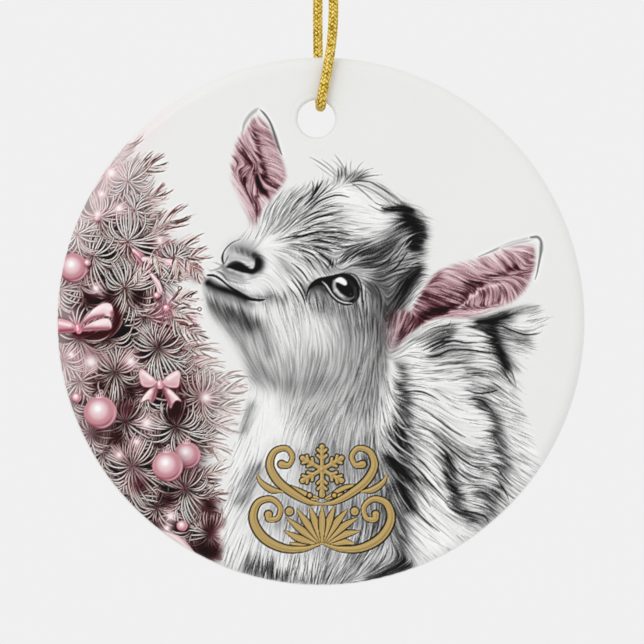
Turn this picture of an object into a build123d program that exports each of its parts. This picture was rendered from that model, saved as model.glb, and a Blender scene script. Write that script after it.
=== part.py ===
from build123d import *
import math
import os

# A round glazed ceramic ornament that hangs from a knotted loop of braided cord.
# Millimetres. +Z is up, the printed face looks towards -Y, and the origin is the hang
# point: the inside top of the loop, just under its knot.

# Disc
disc_diameter = 73.0
disc_thickness = 4.0
rim_radius = 1.7
hang_height = 85.0

# Hole for the cord, placed from the disc's centre
hole_diameter = 5.2
hole_x = -0.58
hole_z = 28.0
hole_edge_radius = 0.6

# Printed coating: a thin skin over the front face and part of the rounded rim
coating_thickness = 0.06
coating_wrap_degrees = 62.0
coating_hole_margin = 0.25

# Cord
cord_diameter = 1.4
neck_top = -1.6
neck_bottom = -4.0
neck_gap = 0.3

# Knot and the two cut ends that stand out of its top
knot_diameter = 4.6
knot_bottom = 0.0
knot_height = 4.6
knot_rounding = 1.1

# The loop's route, from the knot down the front, through the hole and up the back.
cord_route = [
    (0.38, -0.62, 0.0),
    (0.44, -0.74, -5.0),
    (0.78, -1.12, -13.5),
    (1.22, -1.58, -23.0),
    (1.60, -2.04, -32.5),
    (1.84, -2.48, -40.2),
    (1.70, -2.82, -45.4),
    (1.05, -2.95, -49.8),
    (0.46, -2.95, -52.7),
    (0.14, -2.95, -54.38),
    (0.06, -2.05, -55.26),
    (0.0, 0.0, -55.33),
    (-0.04, 2.05, -55.26),
    (-0.1, 2.95, -54.38),
    (-0.2, 2.95, -52.6),
    (-0.32, 2.92, -49.2),
    (-0.4, 2.78, -44.0),
    (-0.36, 2.4, -36.8),
    (-0.28, 1.86, -27.2),
    (-0.32, 1.28, -16.8),
    (-0.4, 0.8, -7.4),
    (-0.38, 0.62, 0.0),
]

# The cut ends start inside the knot and are trimmed to its surface.
front_tail_route = [
    (0.5, -0.6, 4.0),
    (0.9, -0.85, 6.6),
    (1.9, -1.15, 9.4),
    (2.8, -1.1, 12.0),
]

back_tail_route = [
    (-0.5, 0.6, 4.0),
    (-1.1, 0.75, 6.4),
    (-1.75, 0.85, 9.1),
    (-3.0, 1.1, 11.2),
]

disc_centre = Location((0, 0, -hang_height))


def corner_radii(points):
    """One arc for each corner, as large as its two runs leave room for."""
    radii = []
    for before, corner, after in zip(points, points[1:], points[2:]):
        run_in = Vector(*corner) - Vector(*before)
        run_out = Vector(*after) - Vector(*corner)
        half_turn = math.radians(run_in.get_angle(run_out)) / 2
        shorter = min(run_in.length, run_out.length)
        radii.append(0.45 * shorter / math.tan(half_turn))
    return radii


def cord_tube(name, points):
    """A round tube along straight runs joined by tangent arcs."""
    radii = corner_radii(points)
    path = FilletPolyline(*points, radius=radii)
    section = Plane(origin=path @ 0, z_dir=path % 0) * Circle(cord_diameter / 2)
    tube = sweep(section, path=path)
    expected = math.pi * (cord_diameter / 2) ** 2 * path.length
    print(f"{name}: length {path.length:.2f} mm, volume {tube.volume:.2f} against {expected:.2f} mm3")
    print(f"{name}: arc radii {[round(r, 2) for r in radii]}")
    return tube


def slab(low, high):
    """The space between two heights, wide enough to hold the whole cord."""
    size = 4 * cord_diameter + disc_thickness
    middle = Location((0, 0, (low + high) / 2))
    return middle * Box(size, size, high - low)


def make_porcelain_disc():
    disc = Rot(90, 0, 0) * Cylinder(disc_diameter / 2, disc_thickness)
    disc = fillet(disc.edges().filter_by(GeomType.CIRCLE), rim_radius)
    hole = Pos(hole_x, 0, hole_z) * Rot(90, 0, 0) * Cylinder(hole_diameter / 2, 2 * disc_thickness)
    disc = disc - hole
    mouth_edges = [e for e in disc.edges().filter_by(GeomType.CIRCLE)
                   if abs(e.radius - hole_diameter / 2) < 1e-6]
    return disc_centre * fillet(mouth_edges, hole_edge_radius)


def make_printed_coating():
    """A skin on the front: flat in the middle, and wrapped part of the way round the rim."""
    face_y = -disc_thickness / 2
    flat_radius = disc_diameter / 2 - rim_radius
    outer_rim = rim_radius + coating_thickness
    wrap = math.radians(coating_wrap_degrees)

    def on_rim(radius, angle):
        return (flat_radius + radius * math.sin(angle), face_y + rim_radius - radius * math.cos(angle))

    profile = make_face([
        Line((0, face_y), (flat_radius, face_y)),
        ThreePointArc(*(on_rim(rim_radius, wrap * part) for part in (0, 0.5, 1))),
        Line(on_rim(rim_radius, wrap), on_rim(outer_rim, wrap)),
        ThreePointArc(*(on_rim(outer_rim, wrap * part) for part in (1, 0.5, 0))),
        Line((flat_radius, face_y - coating_thickness), (0, face_y - coating_thickness)),
        Line((0, face_y - coating_thickness), (0, face_y)),
    ])
    skin = revolve(profile, Axis.Y)
    opening_radius = hole_diameter / 2 + hole_edge_radius + coating_hole_margin
    opening = Pos(hole_x, 0, hole_z) * Rot(90, 0, 0) * Cylinder(opening_radius, 2 * disc_thickness)
    return disc_centre * (skin - opening)


def make_cord():
    """The loop as one tube, parted just under the knot where it twists."""
    tube = cord_tube("cord", cord_route)
    bottom = min(point[2] for point in cord_route) - cord_diameter
    neck = tube & slab(neck_bottom, neck_top)
    loop = tube & slab(bottom, neck_bottom - neck_gap)
    return neck, loop


def make_knot():
    knot = Pos(0, 0, knot_bottom + knot_height / 2) * Cylinder(knot_diameter / 2, knot_height)
    return fillet(knot.edges().filter_by(GeomType.CIRCLE), knot_rounding)


def make_tail(name, points, knot):
    return cord_tube(name, points) - knot


def main():
    os.makedirs("parts", exist_ok=True)
    cord_neck, cord_loop = make_cord()
    cord_knot = make_knot()
    nodes = {
        "porcelain_disc": make_porcelain_disc(),
        "printed_coating": make_printed_coating(),
        "cord_loop": cord_loop,
        "cord_neck": cord_neck,
        "cord_knot": cord_knot,
        "cord_tail_front": make_tail("front tail", front_tail_route, cord_knot),
        "cord_tail_back": make_tail("back tail", back_tail_route, cord_knot),
    }
    for name, shape in nodes.items():
        export_step(shape, f"parts/{name}.step")


main()
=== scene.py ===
import math

import bpy
import numpy as np
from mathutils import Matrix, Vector


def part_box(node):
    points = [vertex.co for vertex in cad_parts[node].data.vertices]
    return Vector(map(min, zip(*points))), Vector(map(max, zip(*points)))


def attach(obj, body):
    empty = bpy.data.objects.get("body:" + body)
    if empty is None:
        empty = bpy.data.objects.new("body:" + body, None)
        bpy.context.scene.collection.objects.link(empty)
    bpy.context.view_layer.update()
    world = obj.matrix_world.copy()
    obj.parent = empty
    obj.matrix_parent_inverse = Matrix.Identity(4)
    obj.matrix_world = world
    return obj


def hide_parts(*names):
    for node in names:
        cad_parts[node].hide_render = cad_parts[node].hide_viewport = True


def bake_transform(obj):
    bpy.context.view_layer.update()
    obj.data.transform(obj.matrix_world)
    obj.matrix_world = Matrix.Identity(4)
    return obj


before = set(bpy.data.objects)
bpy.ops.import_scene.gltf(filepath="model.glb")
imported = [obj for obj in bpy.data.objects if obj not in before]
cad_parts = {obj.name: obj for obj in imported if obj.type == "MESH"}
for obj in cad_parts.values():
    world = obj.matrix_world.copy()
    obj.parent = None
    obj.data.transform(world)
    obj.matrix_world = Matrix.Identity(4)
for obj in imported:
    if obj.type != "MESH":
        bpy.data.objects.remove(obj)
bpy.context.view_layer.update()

# A round glazed ceramic ornament with a printed picture, on a loop of braided gold cord.
# The origin is the hang point under the knot, +Z is up and the print faces -Y. Lengths are
# in metres here, and in millimetres from the disc's centre in the picture and the printed face.

MM = 0.001
scene = bpy.context.scene
scene.view_settings.view_transform = "Standard"


def mesh_piece(name, vertices, faces, material, smooth=True):
    mesh = bpy.data.meshes.new(name)
    mesh.from_pydata([tuple(v) for v in vertices], [], faces)
    mesh.validate()
    mesh.polygons.foreach_set("use_smooth", [smooth] * len(mesh.polygons))
    mesh.materials.append(material)
    piece = bpy.data.objects.new(name, mesh)
    scene.collection.objects.link(piece)
    return piece


# ---------------------------------------------------------------------------
# Camera, light and floor

DISC_LOW, DISC_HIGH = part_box("porcelain_disc")
DISC_CENTRE = (DISC_LOW + DISC_HIGH) / 2
FACE_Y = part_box("printed_coating")[0].y

# The camera looks straight at the print, from a little right of the disc's centre and below it.
VIEW_WIDTH = 88.87 * MM
CAMERA_DISTANCE = 1.2
CAMERA_RIGHT = 0.2 * MM
CAMERA_BELOW = 0.07 * MM
SENSOR_WIDTH = 36

BACKDROP = (0.871, 0.871, 0.871)
FLOOR_COLOUR = (0.86, 0.86, 0.86)
FLOOR_ROUGHNESS = 0.7
FLOOR_RADIUS = 1.6
FLOOR_HEIGHT = -0.2
FLOOR_CORNERS = 96

KEY_PLACE = (-0.5, -0.9, 0.45)
KEY_SIZE = 0.5
KEY_WATTS = 1.6


def make_camera():
    data = bpy.data.cameras.new("camera")
    data.sensor_width = SENSOR_WIDTH
    data.lens = data.sensor_width * CAMERA_DISTANCE / VIEW_WIDTH
    data.clip_start = 0.05
    camera = bpy.data.objects.new("camera", data)
    camera.location = (CAMERA_RIGHT, FACE_Y - CAMERA_DISTANCE, DISC_CENTRE.z - CAMERA_BELOW)
    camera.rotation_euler = (math.radians(90), 0, 0)
    scene.collection.objects.link(camera)
    scene.camera = camera


def make_key_light():
    data = bpy.data.lights.new("key", "AREA")
    data.shape = "DISK"
    data.size = KEY_SIZE
    data.energy = KEY_WATTS
    light = bpy.data.objects.new("key", data)
    light.location = KEY_PLACE
    light.rotation_euler = (DISC_CENTRE - Vector(KEY_PLACE)).to_track_quat("-Z", "Y").to_euler()
    scene.collection.objects.link(light)


def make_world():
    world = bpy.data.worlds.new("studio")
    scene.world = world
    world.use_nodes = True
    nodes, links = world.node_tree.nodes, world.node_tree.links
    nodes.clear()
    out = nodes.new("ShaderNodeOutputWorld")
    shade = nodes.new("ShaderNodeBackground")
    shade.inputs["Color"].default_value = (*BACKDROP, 1)
    shade.inputs["Strength"].default_value = 1.0
    links.new(shade.outputs[0], out.inputs[0])


def make_floor():
    material, shader = new_material("floor_paint", FLOOR_ROUGHNESS)
    shader.inputs["Base Color"].default_value = (*FLOOR_COLOUR, 1)
    angles = [2 * math.pi * k / FLOOR_CORNERS for k in range(FLOOR_CORNERS)]
    ring = [(FLOOR_RADIUS * math.cos(a), FLOOR_RADIUS * math.sin(a), FLOOR_HEIGHT) for a in angles]
    mesh_piece("floor", ring, [list(range(FLOOR_CORNERS))], material, smooth=False)


# ---------------------------------------------------------------------------
# Materials. Colours are linear.

GLAZE_WHITE = (0.885, 0.89, 0.875)
GLAZE_SHADED = tuple(c * 0.985 for c in GLAZE_WHITE)
GLAZE_ROUGHNESS = 0.16
GLAZE_SPECULAR = 0.14

GOLD_METALLIC = 0.9
GOLD_ROUGHNESS = 0.34
# From painted shade between the yarns to painted highlight on their crowns: place on the ramp, then colour.
GOLD_RAMP = ((0.34, (0.03, 0.018, 0.002)), (0.62, (0.28, 0.175, 0.010)),
             (0.84, (0.70, 0.47, 0.04)), (1.0, (0.95, 0.74, 0.24)))
# How much the noise of the fine filaments adds to the painted yarn light on that ramp.
GLINT_GAIN = 1.5


def new_material(name, roughness):
    material = bpy.data.materials.new(name)
    material.use_nodes = True
    shader = material.node_tree.nodes["Principled BSDF"]
    shader.inputs["Roughness"].default_value = roughness
    return material, shader


def add_noise(material, scale, detail):
    """A noise texture that stays with the piece."""
    nodes = material.node_tree.nodes
    texture = nodes.new("ShaderNodeTexNoise")
    texture.inputs["Scale"].default_value = scale
    texture.inputs["Detail"].default_value = detail
    material.node_tree.links.new(nodes.new("ShaderNodeTexCoord").outputs["Object"], texture.inputs["Vector"])
    return texture


def add_bump(material, shader, height, strength, distance):
    links = material.node_tree.links
    bump = material.node_tree.nodes.new("ShaderNodeBump")
    bump.inputs["Strength"].default_value = strength
    bump.inputs["Distance"].default_value = distance
    links.new(height.outputs["Fac"], bump.inputs["Height"])
    links.new(bump.outputs["Normal"], shader.inputs["Normal"])


def add_ramp(material, source, stops):
    """A colour ramp over a source, from (place, colour) stops in rising order."""
    node = material.node_tree.nodes.new("ShaderNodeValToRGB")
    elements = node.color_ramp.elements
    for end, (place, colour) in enumerate((stops[0], stops[-1])):
        elements[end].position = place
        elements[end].color = (*colour, 1)
    for place, colour in stops[1:-1]:
        elements.new(place).color = (*colour, 1)
    material.node_tree.links.new(source, node.inputs["Fac"])
    return node.outputs["Color"]


def glaze_material(name, attribute=None):
    """Glossy fired glaze over white porcelain, or over the picture held by an attribute."""
    material, shader = new_material(name, GLAZE_ROUGHNESS)
    nodes, links = material.node_tree.nodes, material.node_tree.links
    shader.inputs["Specular IOR Level"].default_value = GLAZE_SPECULAR
    add_bump(material, shader, add_noise(material, 90, 2), 0.05, 0.0005)
    white = add_ramp(material, add_noise(material, 40, 3).outputs["Fac"],
                     ((0.3, GLAZE_SHADED), (0.7, GLAZE_WHITE)))
    if attribute:
        picture = nodes.new("ShaderNodeAttribute")
        picture.attribute_name = attribute
        blend = nodes.new("ShaderNodeMix")
        blend.data_type = "RGBA"
        blend.blend_type = "MULTIPLY"
        blend.inputs["Factor"].default_value = 1
        links.new(picture.outputs["Color"], blend.inputs["A"])
        links.new(white, blend.inputs["B"])
        links.new(blend.outputs["Result"], shader.inputs["Base Color"])
    else:
        links.new(white, shader.inputs["Base Color"])
    return material


def gold_thread_material():
    """Metallic gold yarn with fine filaments: painted highlight on the crowns, brown painted shade between
    the yarns.
    """
    material, shader = new_material("gold_thread", GOLD_ROUGHNESS)
    nodes, links = material.node_tree.nodes, material.node_tree.links
    shader.inputs["Metallic"].default_value = GOLD_METALLIC
    # the painted yarn light: highlight on the crowns, shade in the gaps and under the yarns
    painted_yarn_light = nodes.new("ShaderNodeAttribute")
    painted_yarn_light.attribute_name = "painted_yarn_light"
    glint = add_noise(material, 1900, 3)
    glint.inputs["Roughness"].default_value = 0.7
    mix = nodes.new("ShaderNodeMath")
    mix.operation = "MULTIPLY_ADD"
    mix.inputs[1].default_value = GLINT_GAIN
    links.new(glint.outputs["Fac"], mix.inputs[0])
    links.new(painted_yarn_light.outputs["Fac"], mix.inputs[2])
    links.new(add_ramp(material, mix.outputs[0], GOLD_RAMP), shader.inputs["Base Color"])
    add_bump(material, shader, glint, 0.35, 0.00004)
    return material


# ---------------------------------------------------------------------------
# Cord

YARNS = 16
YARN_WIDTH = 0.44 * MM
YARN_THICKNESS = 0.21 * MM
YARN_STEP = 0.125 * MM
YARN_RING = 6
CORE_WIDTH = 0.86 * MM
CORE_STEPS = 4

# Yarns run at BRAID_RADIUS, BRAID_WAVE further out where they lie over others and further in
# where they lie under. A squarer wave keeps them longer at either height.
BRAID_RADIUS = 0.5 * MM
BRAID_WAVE = 0.1 * MM
BRAID_PITCH = 4.4 * MM
WAVE_SQUARENESS = 1.8

# The cut ends: over FRAY_LENGTH the yarns thin out and spread by FRAY_SPREAD, unevenly.
FRAY_LENGTH = 1.8 * MM
FRAY_SPREAD = 0.45 * MM
FRAY_UNEVEN = 0.35
FRAY_NARROWING = 0.45
FRAY_THINNING = 0.2
CORE_CUT_BACK = 0.4

# The painted yarn light, an attribute from which the gold takes its colour: painted highlight on a
# yarn's crown where it lies over others, painted shade beside the crown and where it lies under.
# Its height, what is left of it beside a yarn's crown, and what is taken off all over.
YARN_LIGHT_GAIN = 0.7
YARN_LIGHT_BESIDE = 0.2
YARN_LIGHT_DROP = 0.46

# Above this height a strand is a tail; the tail starts a few points lower, inside the knot.
TAIL_HEIGHT = 5.6 * MM
TAIL_OVERLAP = 8

# The cord's line, in millimetres: down in front, through the hole and up behind.
CORD_ROUTE = [
    (0.38, -0.62, 0.0), (0.44, -0.74, -5.0), (0.78, -1.12, -13.5), (1.22, -1.58, -23.0),
    (1.60, -2.04, -32.5), (1.84, -2.48, -40.2), (1.70, -2.82, -45.4), (1.05, -2.95, -49.8),
    (0.46, -2.95, -52.7), (0.14, -2.95, -54.38), (0.06, -2.05, -55.26), (0.0, 0.0, -55.33),
    (-0.04, 2.05, -55.26), (-0.1, 2.95, -54.38), (-0.2, 2.95, -52.6), (-0.32, 2.92, -49.2),
    (-0.4, 2.78, -44.0), (-0.36, 2.4, -36.8), (-0.28, 1.86, -27.2), (-0.32, 1.28, -16.8), (-0.4, 0.8, -7.4),
    (-0.38, 0.62, 0.0),
]

# The knot: each strand rises in the middle, turns once round the outside, and comes up
# through its own turn to end as a tail.
KNOT_ROUTES = {
    "front": [
        (0.38, -0.62, 0.0), (0.55, -0.55, 1.2), (0.75, -0.3, 2.6), (0.95, 0.4, 4.1),
        (0.6, 1.55, 5.0), (-0.7, 1.85, 4.6), (-1.85, 1.0, 3.9), (-2.05, -0.4, 3.3),
        (-1.3, -1.75, 2.8), (0.3, -2.15, 2.5), (1.65, -1.5, 2.3), (2.15, -0.1, 2.1),
        (1.7, 1.2, 2.0), (0.6, 1.6, 2.6), (0.1, 0.95, 3.9), (0.35, 0.1, 5.4),
        (0.9, -0.7, 6.8), (1.9, -1.15, 9.4), (2.8, -1.1, 12.0)],
    "back": [
        (-0.38, 0.62, 0.0), (-0.45, 0.5, 1.2), (-0.35, 0.55, 2.6), (0.1, 0.75, 3.4),
        (0.5, 1.5, 3.5), (-0.7, 1.95, 3.2), (-1.9, 1.1, 2.6), (-2.1, -0.4, 2.0),
        (-1.35, -1.8, 1.5), (0.3, -2.2, 1.2), (1.7, -1.55, 1.0), (2.2, -0.1, 0.8),
        (1.7, 1.35, 0.8), (0.2, 1.75, 1.4), (-0.75, 1.0, 2.8), (-0.85, 0.45, 4.6),
        (-1.1, 0.6, 6.4), (-1.75, 0.85, 9.1), (-3.0, 1.1, 11.2)],
}


def route_line(name, points):
    """Points along the smooth spline whose control points are the route, in metres."""
    data = bpy.data.curves.new(name, "CURVE")
    data.dimensions = "3D"
    line = data.splines.new("NURBS")
    line.points.add(len(points) - 1)
    for point, place in zip(line.points, points):
        point.co = (*(c * MM for c in place), 1)
    line.order_u = 3
    line.use_endpoint_u = True
    line.resolution_u = 24
    curve = bpy.data.objects.new(name, data)
    scene.collection.objects.link(curve)
    bpy.context.view_layer.update()
    mesh = bpy.data.meshes.new_from_object(curve.evaluated_get(bpy.context.evaluated_depsgraph_get()))
    places = np.array([v.co[:] for v in mesh.vertices])
    bpy.data.meshes.remove(mesh)
    bpy.data.objects.remove(curve)
    return places


def even_steps(line, step):
    """The same line with points an equal way apart, and how far along each one is."""
    along = np.concatenate([[0], np.cumsum(np.linalg.norm(np.diff(line, axis=0), axis=1))])
    count = max(2, int(round(along[-1] / step)) + 1)
    at = np.linspace(0, along[-1], count)
    return np.stack([np.interp(at, along, line[:, k]) for k in range(3)], axis=1), at


def tangents(line):
    ways = np.gradient(line, axis=0)
    return ways / np.linalg.norm(ways, axis=1)[:, None]


def carried_sides(line):
    """Two directions across the line at each point, carried along without twist."""
    ways = tangents(line)
    side = np.cross(ways[0], (0, 1, 0))
    side /= np.linalg.norm(side)
    sides = []
    for way in ways:
        side = side - way * side.dot(way)
        side /= np.linalg.norm(side)
        sides.append(side.copy())
    return np.array(sides), np.cross(ways, sides)


def swept_yarn(centres, outward, width, thickness):
    """An oval yarn along its centres, closed at both ends.

    Gives its vertices, its faces, and how near each vertex is to its crown, from 0 to 1."""
    ways = tangents(centres)
    outward = outward - ways * (outward * ways).sum(axis=1)[:, None]
    outward /= np.linalg.norm(outward, axis=1)[:, None]
    across = np.cross(ways, outward)
    angle = 2 * math.pi * (np.arange(YARN_RING) + 0.5) / YARN_RING
    width, thickness = (np.broadcast_to(a, len(centres))[:, None, None] for a in (width, thickness))
    rings = (centres[:, None] + across[:, None] * np.cos(angle)[None, :, None] * width / 2
             + outward[:, None] * np.sin(angle)[None, :, None] * thickness / 2)
    last = (len(centres) - 1) * YARN_RING
    faces = []
    for base in range(0, last, YARN_RING):
        for k in range(YARN_RING):
            n = (k + 1) % YARN_RING
            faces.append((base + k, base + n, base + YARN_RING + n, base + YARN_RING + k))
    faces.append(tuple(range(YARN_RING - 1, -1, -1)))
    faces.append(tuple(last + k for k in range(YARN_RING)))
    return rings.reshape(-1, 3), faces, np.tile(0.5 + 0.5 * np.sin(angle), len(centres))


def braid(name, line, material, frayed=False):
    """A tubular braid round a line, each yarn over two and under two, so that it shows columns of Vs."""
    points, at = even_steps(line, YARN_STEP)
    side, other = carried_sides(points)
    loose = np.clip((at - at[-1] + FRAY_LENGTH) / FRAY_LENGTH, 0, 1) if frayed else 0 * at
    vertices, faces, painted_yarn_light = [], [], []

    def add(yarn, lift, opened):
        """Adds one yarn; lift and opened say at each step how high it lies and how far it is apart."""
        places, yarn_faces, crown = yarn
        base = sum(len(v) for v in vertices)
        vertices.append(places)
        faces.extend(tuple(base + i for i in face) for face in yarn_faces)
        # Painted yarn light: highlight on the crown where it lies over or comes loose, shade where it lies
        # under.
        crown = np.maximum(crown, np.repeat(opened, YARN_RING))
        height = YARN_LIGHT_GAIN * np.repeat(np.maximum(lift, opened), YARN_RING)
        painted_yarn_light.append(height * (YARN_LIGHT_BESIDE + (1 - YARN_LIGHT_BESIDE) * crown) - YARN_LIGHT_DROP)

    for k in range(YARNS):
        way = 1 if k % 2 else -1
        turn = way * 2 * math.pi * at / BRAID_PITCH + math.pi * 2 * (k // 2) / (YARNS / 2)
        crossing = YARNS * at / BRAID_PITCH + 2 * (k // 2) - (0.5 if way > 0 else 1.5)
        wave = np.tanh(WAVE_SQUARENESS * np.cos(math.pi / 2 * crossing)) / math.tanh(WAVE_SQUARENESS)
        spread = loose ** 2 * FRAY_SPREAD * (1 + FRAY_UNEVEN * math.sin(7.0 * k))
        outward = side * np.cos(turn)[:, None] + other * np.sin(turn)[:, None]
        centres = points + outward * (BRAID_RADIUS + BRAID_WAVE * wave + spread)[:, None]
        add(swept_yarn(centres, outward, YARN_WIDTH * (1 - FRAY_NARROWING * loose),
                       YARN_THICKNESS * (1 - FRAY_THINNING * loose)), 0.5 + 0.5 * wave, loose)
    cut_back = int(CORE_CUT_BACK * FRAY_LENGTH / YARN_STEP) if frayed else 0
    core = slice(0, len(at) - cut_back, CORE_STEPS)
    # The core inside the braid gets painted shade all along, lighter only where its end comes loose.
    add(swept_yarn(points[core], side[core], CORE_WIDTH, CORE_WIDTH), 0 * at[core], 0.9 * loose[core])
    piece = mesh_piece(name, np.concatenate(vertices), faces, material)
    layer = piece.data.attributes.new("painted_yarn_light", "FLOAT", "POINT")
    layer.data.foreach_set("value", np.concatenate(painted_yarn_light).astype(np.float32))
    return piece


def make_cord():
    gold = gold_thread_material()
    line = route_line("cord_line", CORD_ROUTE)
    loop = braid("braided_cord", line, gold)
    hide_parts("cord_neck", "cord_loop")
    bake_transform(loop)

    parts = []
    for side, route in KNOT_ROUTES.items():
        strand = route_line("knot_line", route)
        high = len(strand) - 1
        while strand[high - 1][2] > TAIL_HEIGHT:
            high -= 1
        parts.append(braid("knot_strand_" + side, strand[:high + 1], gold))
        tail = braid("tail_" + side, strand[high - TAIL_OVERLAP:], gold, frayed=True)
        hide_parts("cord_tail_" + side)
        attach(tail, "hanger")
        parts.append(tail)
    front, back = parts[0], parts[2]
    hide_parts("cord_knot")
    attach(front, "hanger")
    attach(back, "hanger")


# ---------------------------------------------------------------------------
# The printed picture. Places are in millimetres from the disc's centre: x to the
# right, z up. Tones and colours are display values from 0 to 1.

PITCH = 0.07
HALF = 36.75
SIZE = int(round(2 * HALF / PITCH))
AXIS = -HALF + PITCH * (np.arange(SIZE) + 0.5)
GX, GZ = np.meshgrid(AXIS, AXIS)
GX = GX.astype(np.float32)
GZ = GZ.astype(np.float32)

GLAZE = np.array([0.918, 0.920, 0.912])


def smooth(value, low, high):
    t = np.clip((value - low) / (high - low), 0, 1)
    return t * t * (3 - 2 * t)


def spline(points, spacing, closed=False):
    """Catmull-Rom curve through points of any number of columns, evenly sampled."""
    p = np.array(points, float)
    if closed:
        p = np.vstack([p[-1], p, p[0], p[1]])
    else:
        p = np.vstack([2 * p[0] - p[1], p, 2 * p[-1] - p[-2]])
    rows = []
    for a, b, c, d in zip(p, p[1:], p[2:], p[3:]):
        steps = max(2, int(np.hypot(*(c - b)[:2]) / spacing) + 1)
        t = (np.arange(steps) / steps)[:, None]
        rows.append(0.5 * (2 * b + (c - a) * t + (2 * a - 5 * b + 4 * c - d) * t ** 2
                           + (3 * b - a - 3 * c + d) * t ** 3))
    rows.append(p[-2][None])
    return np.vstack(rows)


def window(low, high, pad):
    """Index slices of the canvas that hold a box with some room round it."""
    first = np.floor((np.array(low) - pad + HALF) / PITCH).astype(int)
    last = np.ceil((np.array(high) + pad + HALF) / PITCH).astype(int)
    first = np.clip(first, 0, SIZE)
    last = np.clip(last, 0, SIZE)
    return slice(first[1], last[1]), slice(first[0], last[0])


# A stroke is worked out to REACH times its width, and counts as FAR beyond.
REACH = 2.6
FAR = 40.0


def near(points, width):
    """Square of each canvas point's distance from a path, in widths, and the window it is given in.

    The third value of a point, where there is one, scales the width there."""
    pts = np.array([tuple(p) + (1.0,) * (3 - len(p)) for p in points], float)
    run = spline(pts, max(0.35 * width * pts[:, 2].min(), 0.08)) if len(pts) > 1 else pts
    reach = REACH * width * max(run[:, 2].max(), 0.05)
    box = window(run[:, :2].min(axis=0), run[:, :2].max(axis=0), reach)
    gx, gz = GX[box], GZ[box]
    best = np.full(gx.shape, FAR, np.float32)
    if best.size == 0:
        return best, box
    oz, ox = box[0].start, box[1].start
    for x, z, w in run:
        w = max(w * width, 0.02)
        local = window((x, z), (x, z), REACH * w)
        rows = slice(max(local[0].start - oz, 0), max(local[0].stop - oz, 0))
        cols = slice(max(local[1].start - ox, 0), max(local[1].stop - ox, 0))
        q = ((gx[rows, cols] - x) ** 2 + (gz[rows, cols] - z) ** 2) / (w * w)
        best[rows, cols] = np.minimum(best[rows, cols], q)
    return best, box


def blend(layer, tone, cover, box=...):
    """Blends a tone, a colour or a whole picture into a layer, or into one window of it."""
    if layer.ndim == 3:
        cover = cover[..., None]
    layer[box] += (np.asarray(tone, np.float32) - layer[box]) * cover


def airbrush(layer, points, width, tone, strength=1.0):
    """Blends a soft stroke of one tone or colour into a layer."""
    q, box = near(points, width)
    blend(layer, tone, strength * np.exp(-q), box)


def pen(layer, points, width, tone, strength, edge=0.12):
    """Blends a firm-edged stroke."""
    q, box = near(points, width)
    blend(layer, tone, strength * (1 - smooth(np.sqrt(q) * width, width - edge, width + edge)), box)


def inside(outline, soft=0.3):
    """Soft mask of a closed outline."""
    path = spline(outline, 0.25, closed=True)
    box = window(path.min(axis=0), path.max(axis=0), 1.0)
    gx = GX[box]
    odd = np.zeros(gx.shape, bool)
    for (x0, z0), (x1, z1) in zip(path, np.roll(path, -1, axis=0)):
        if z0 == z1:
            continue
        low, high = min(z0, z1), max(z0, z1)
        rows = np.nonzero((AXIS[box[0]] > low) & (AXIS[box[0]] <= high))[0]
        if len(rows):
            cross = x0 + (AXIS[box[0]][rows] - z0) / (z1 - z0) * (x1 - x0)
            odd[rows] ^= gx[rows] < cross[:, None]
    mask = np.zeros((SIZE, SIZE), np.float32)
    mask[box] = odd
    return blur(mask, soft)


def fill(layer, outline, tone, soft):
    """Fills a closed outline with one tone, its edge softened."""
    blend(layer, tone, inside(outline, soft))


def blur(a, sigma):
    """Gaussian blur; sigma in millimetres."""
    if sigma <= 0:
        return a
    f = np.fft.rfftfreq(a.shape[1], PITCH)
    g = np.fft.fftfreq(a.shape[0], PITCH)
    gain = np.exp(-2 * (math.pi * sigma) ** 2 * (g[:, None] ** 2 + f[None] ** 2))
    return np.fft.irfft2(np.fft.rfft2(a) * gain, a.shape).astype(np.float32)


def sample(a, x, z):
    """Bilinear value of a layer at places in millimetres."""
    u = np.clip((x + HALF) / PITCH - 0.5, 0, SIZE - 1.001)
    v = np.clip((z + HALF) / PITCH - 0.5, 0, SIZE - 1.001)
    i, j = u.astype(np.int32), v.astype(np.int32)
    fu, fv = u - i, v - j
    if a.ndim == 3:
        fu, fv = fu[..., None], fv[..., None]
    return ((a[j, i] * (1 - fu) + a[j, i + 1] * fu) * (1 - fv)
            + (a[j + 1, i] * (1 - fu) + a[j + 1, i + 1] * fu) * fv)


def combed(strokes, spread):
    """A direction for each canvas point, from strokes combed root to tip."""
    places, ways = [], []
    for stroke in strokes:
        run = spline(stroke, 0.8)
        way = np.gradient(run, axis=0)
        places.append(run)
        ways.append(way / np.hypot(way[:, 0], way[:, 1])[:, None])
    places, ways = np.vstack(places), np.vstack(ways)
    coarse = 10
    lx = AXIS[::coarse]
    cx, cz = np.meshgrid(lx, lx)
    sx = np.zeros_like(cx)
    sz = np.zeros_like(cx)
    for (x, z), (wx, wz) in zip(places, ways):
        weight = 1 / ((cx - x) ** 2 + (cz - z) ** 2 + spread) ** 2
        sx += weight * wx
        sz += weight * wz
    pull = np.hypot(sx, sz) + 1e-12
    sx, sz = sx / pull, sz / pull
    u = np.clip((AXIS - lx[0]) / (PITCH * coarse), 0, len(lx) - 1.001)
    i = u.astype(int)
    f = (u - i).astype(np.float32)

    def widen(a):
        a = a[:, i] * (1 - f) + a[:, i + 1] * f
        return a[i] * (1 - f)[:, None] + a[i + 1] * f[:, None]

    sx, sz = widen(sx), widen(sz)
    pull = np.hypot(sx, sz) + 1e-6
    return (sx / pull).astype(np.float32), (sz / pull).astype(np.float32)


def white_noise(seed, grain):
    rng = np.random.default_rng(seed)
    noise = rng.standard_normal((SIZE, SIZE)).astype(np.float32)
    noise = blur(noise, grain)
    return noise / noise.std()


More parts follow.
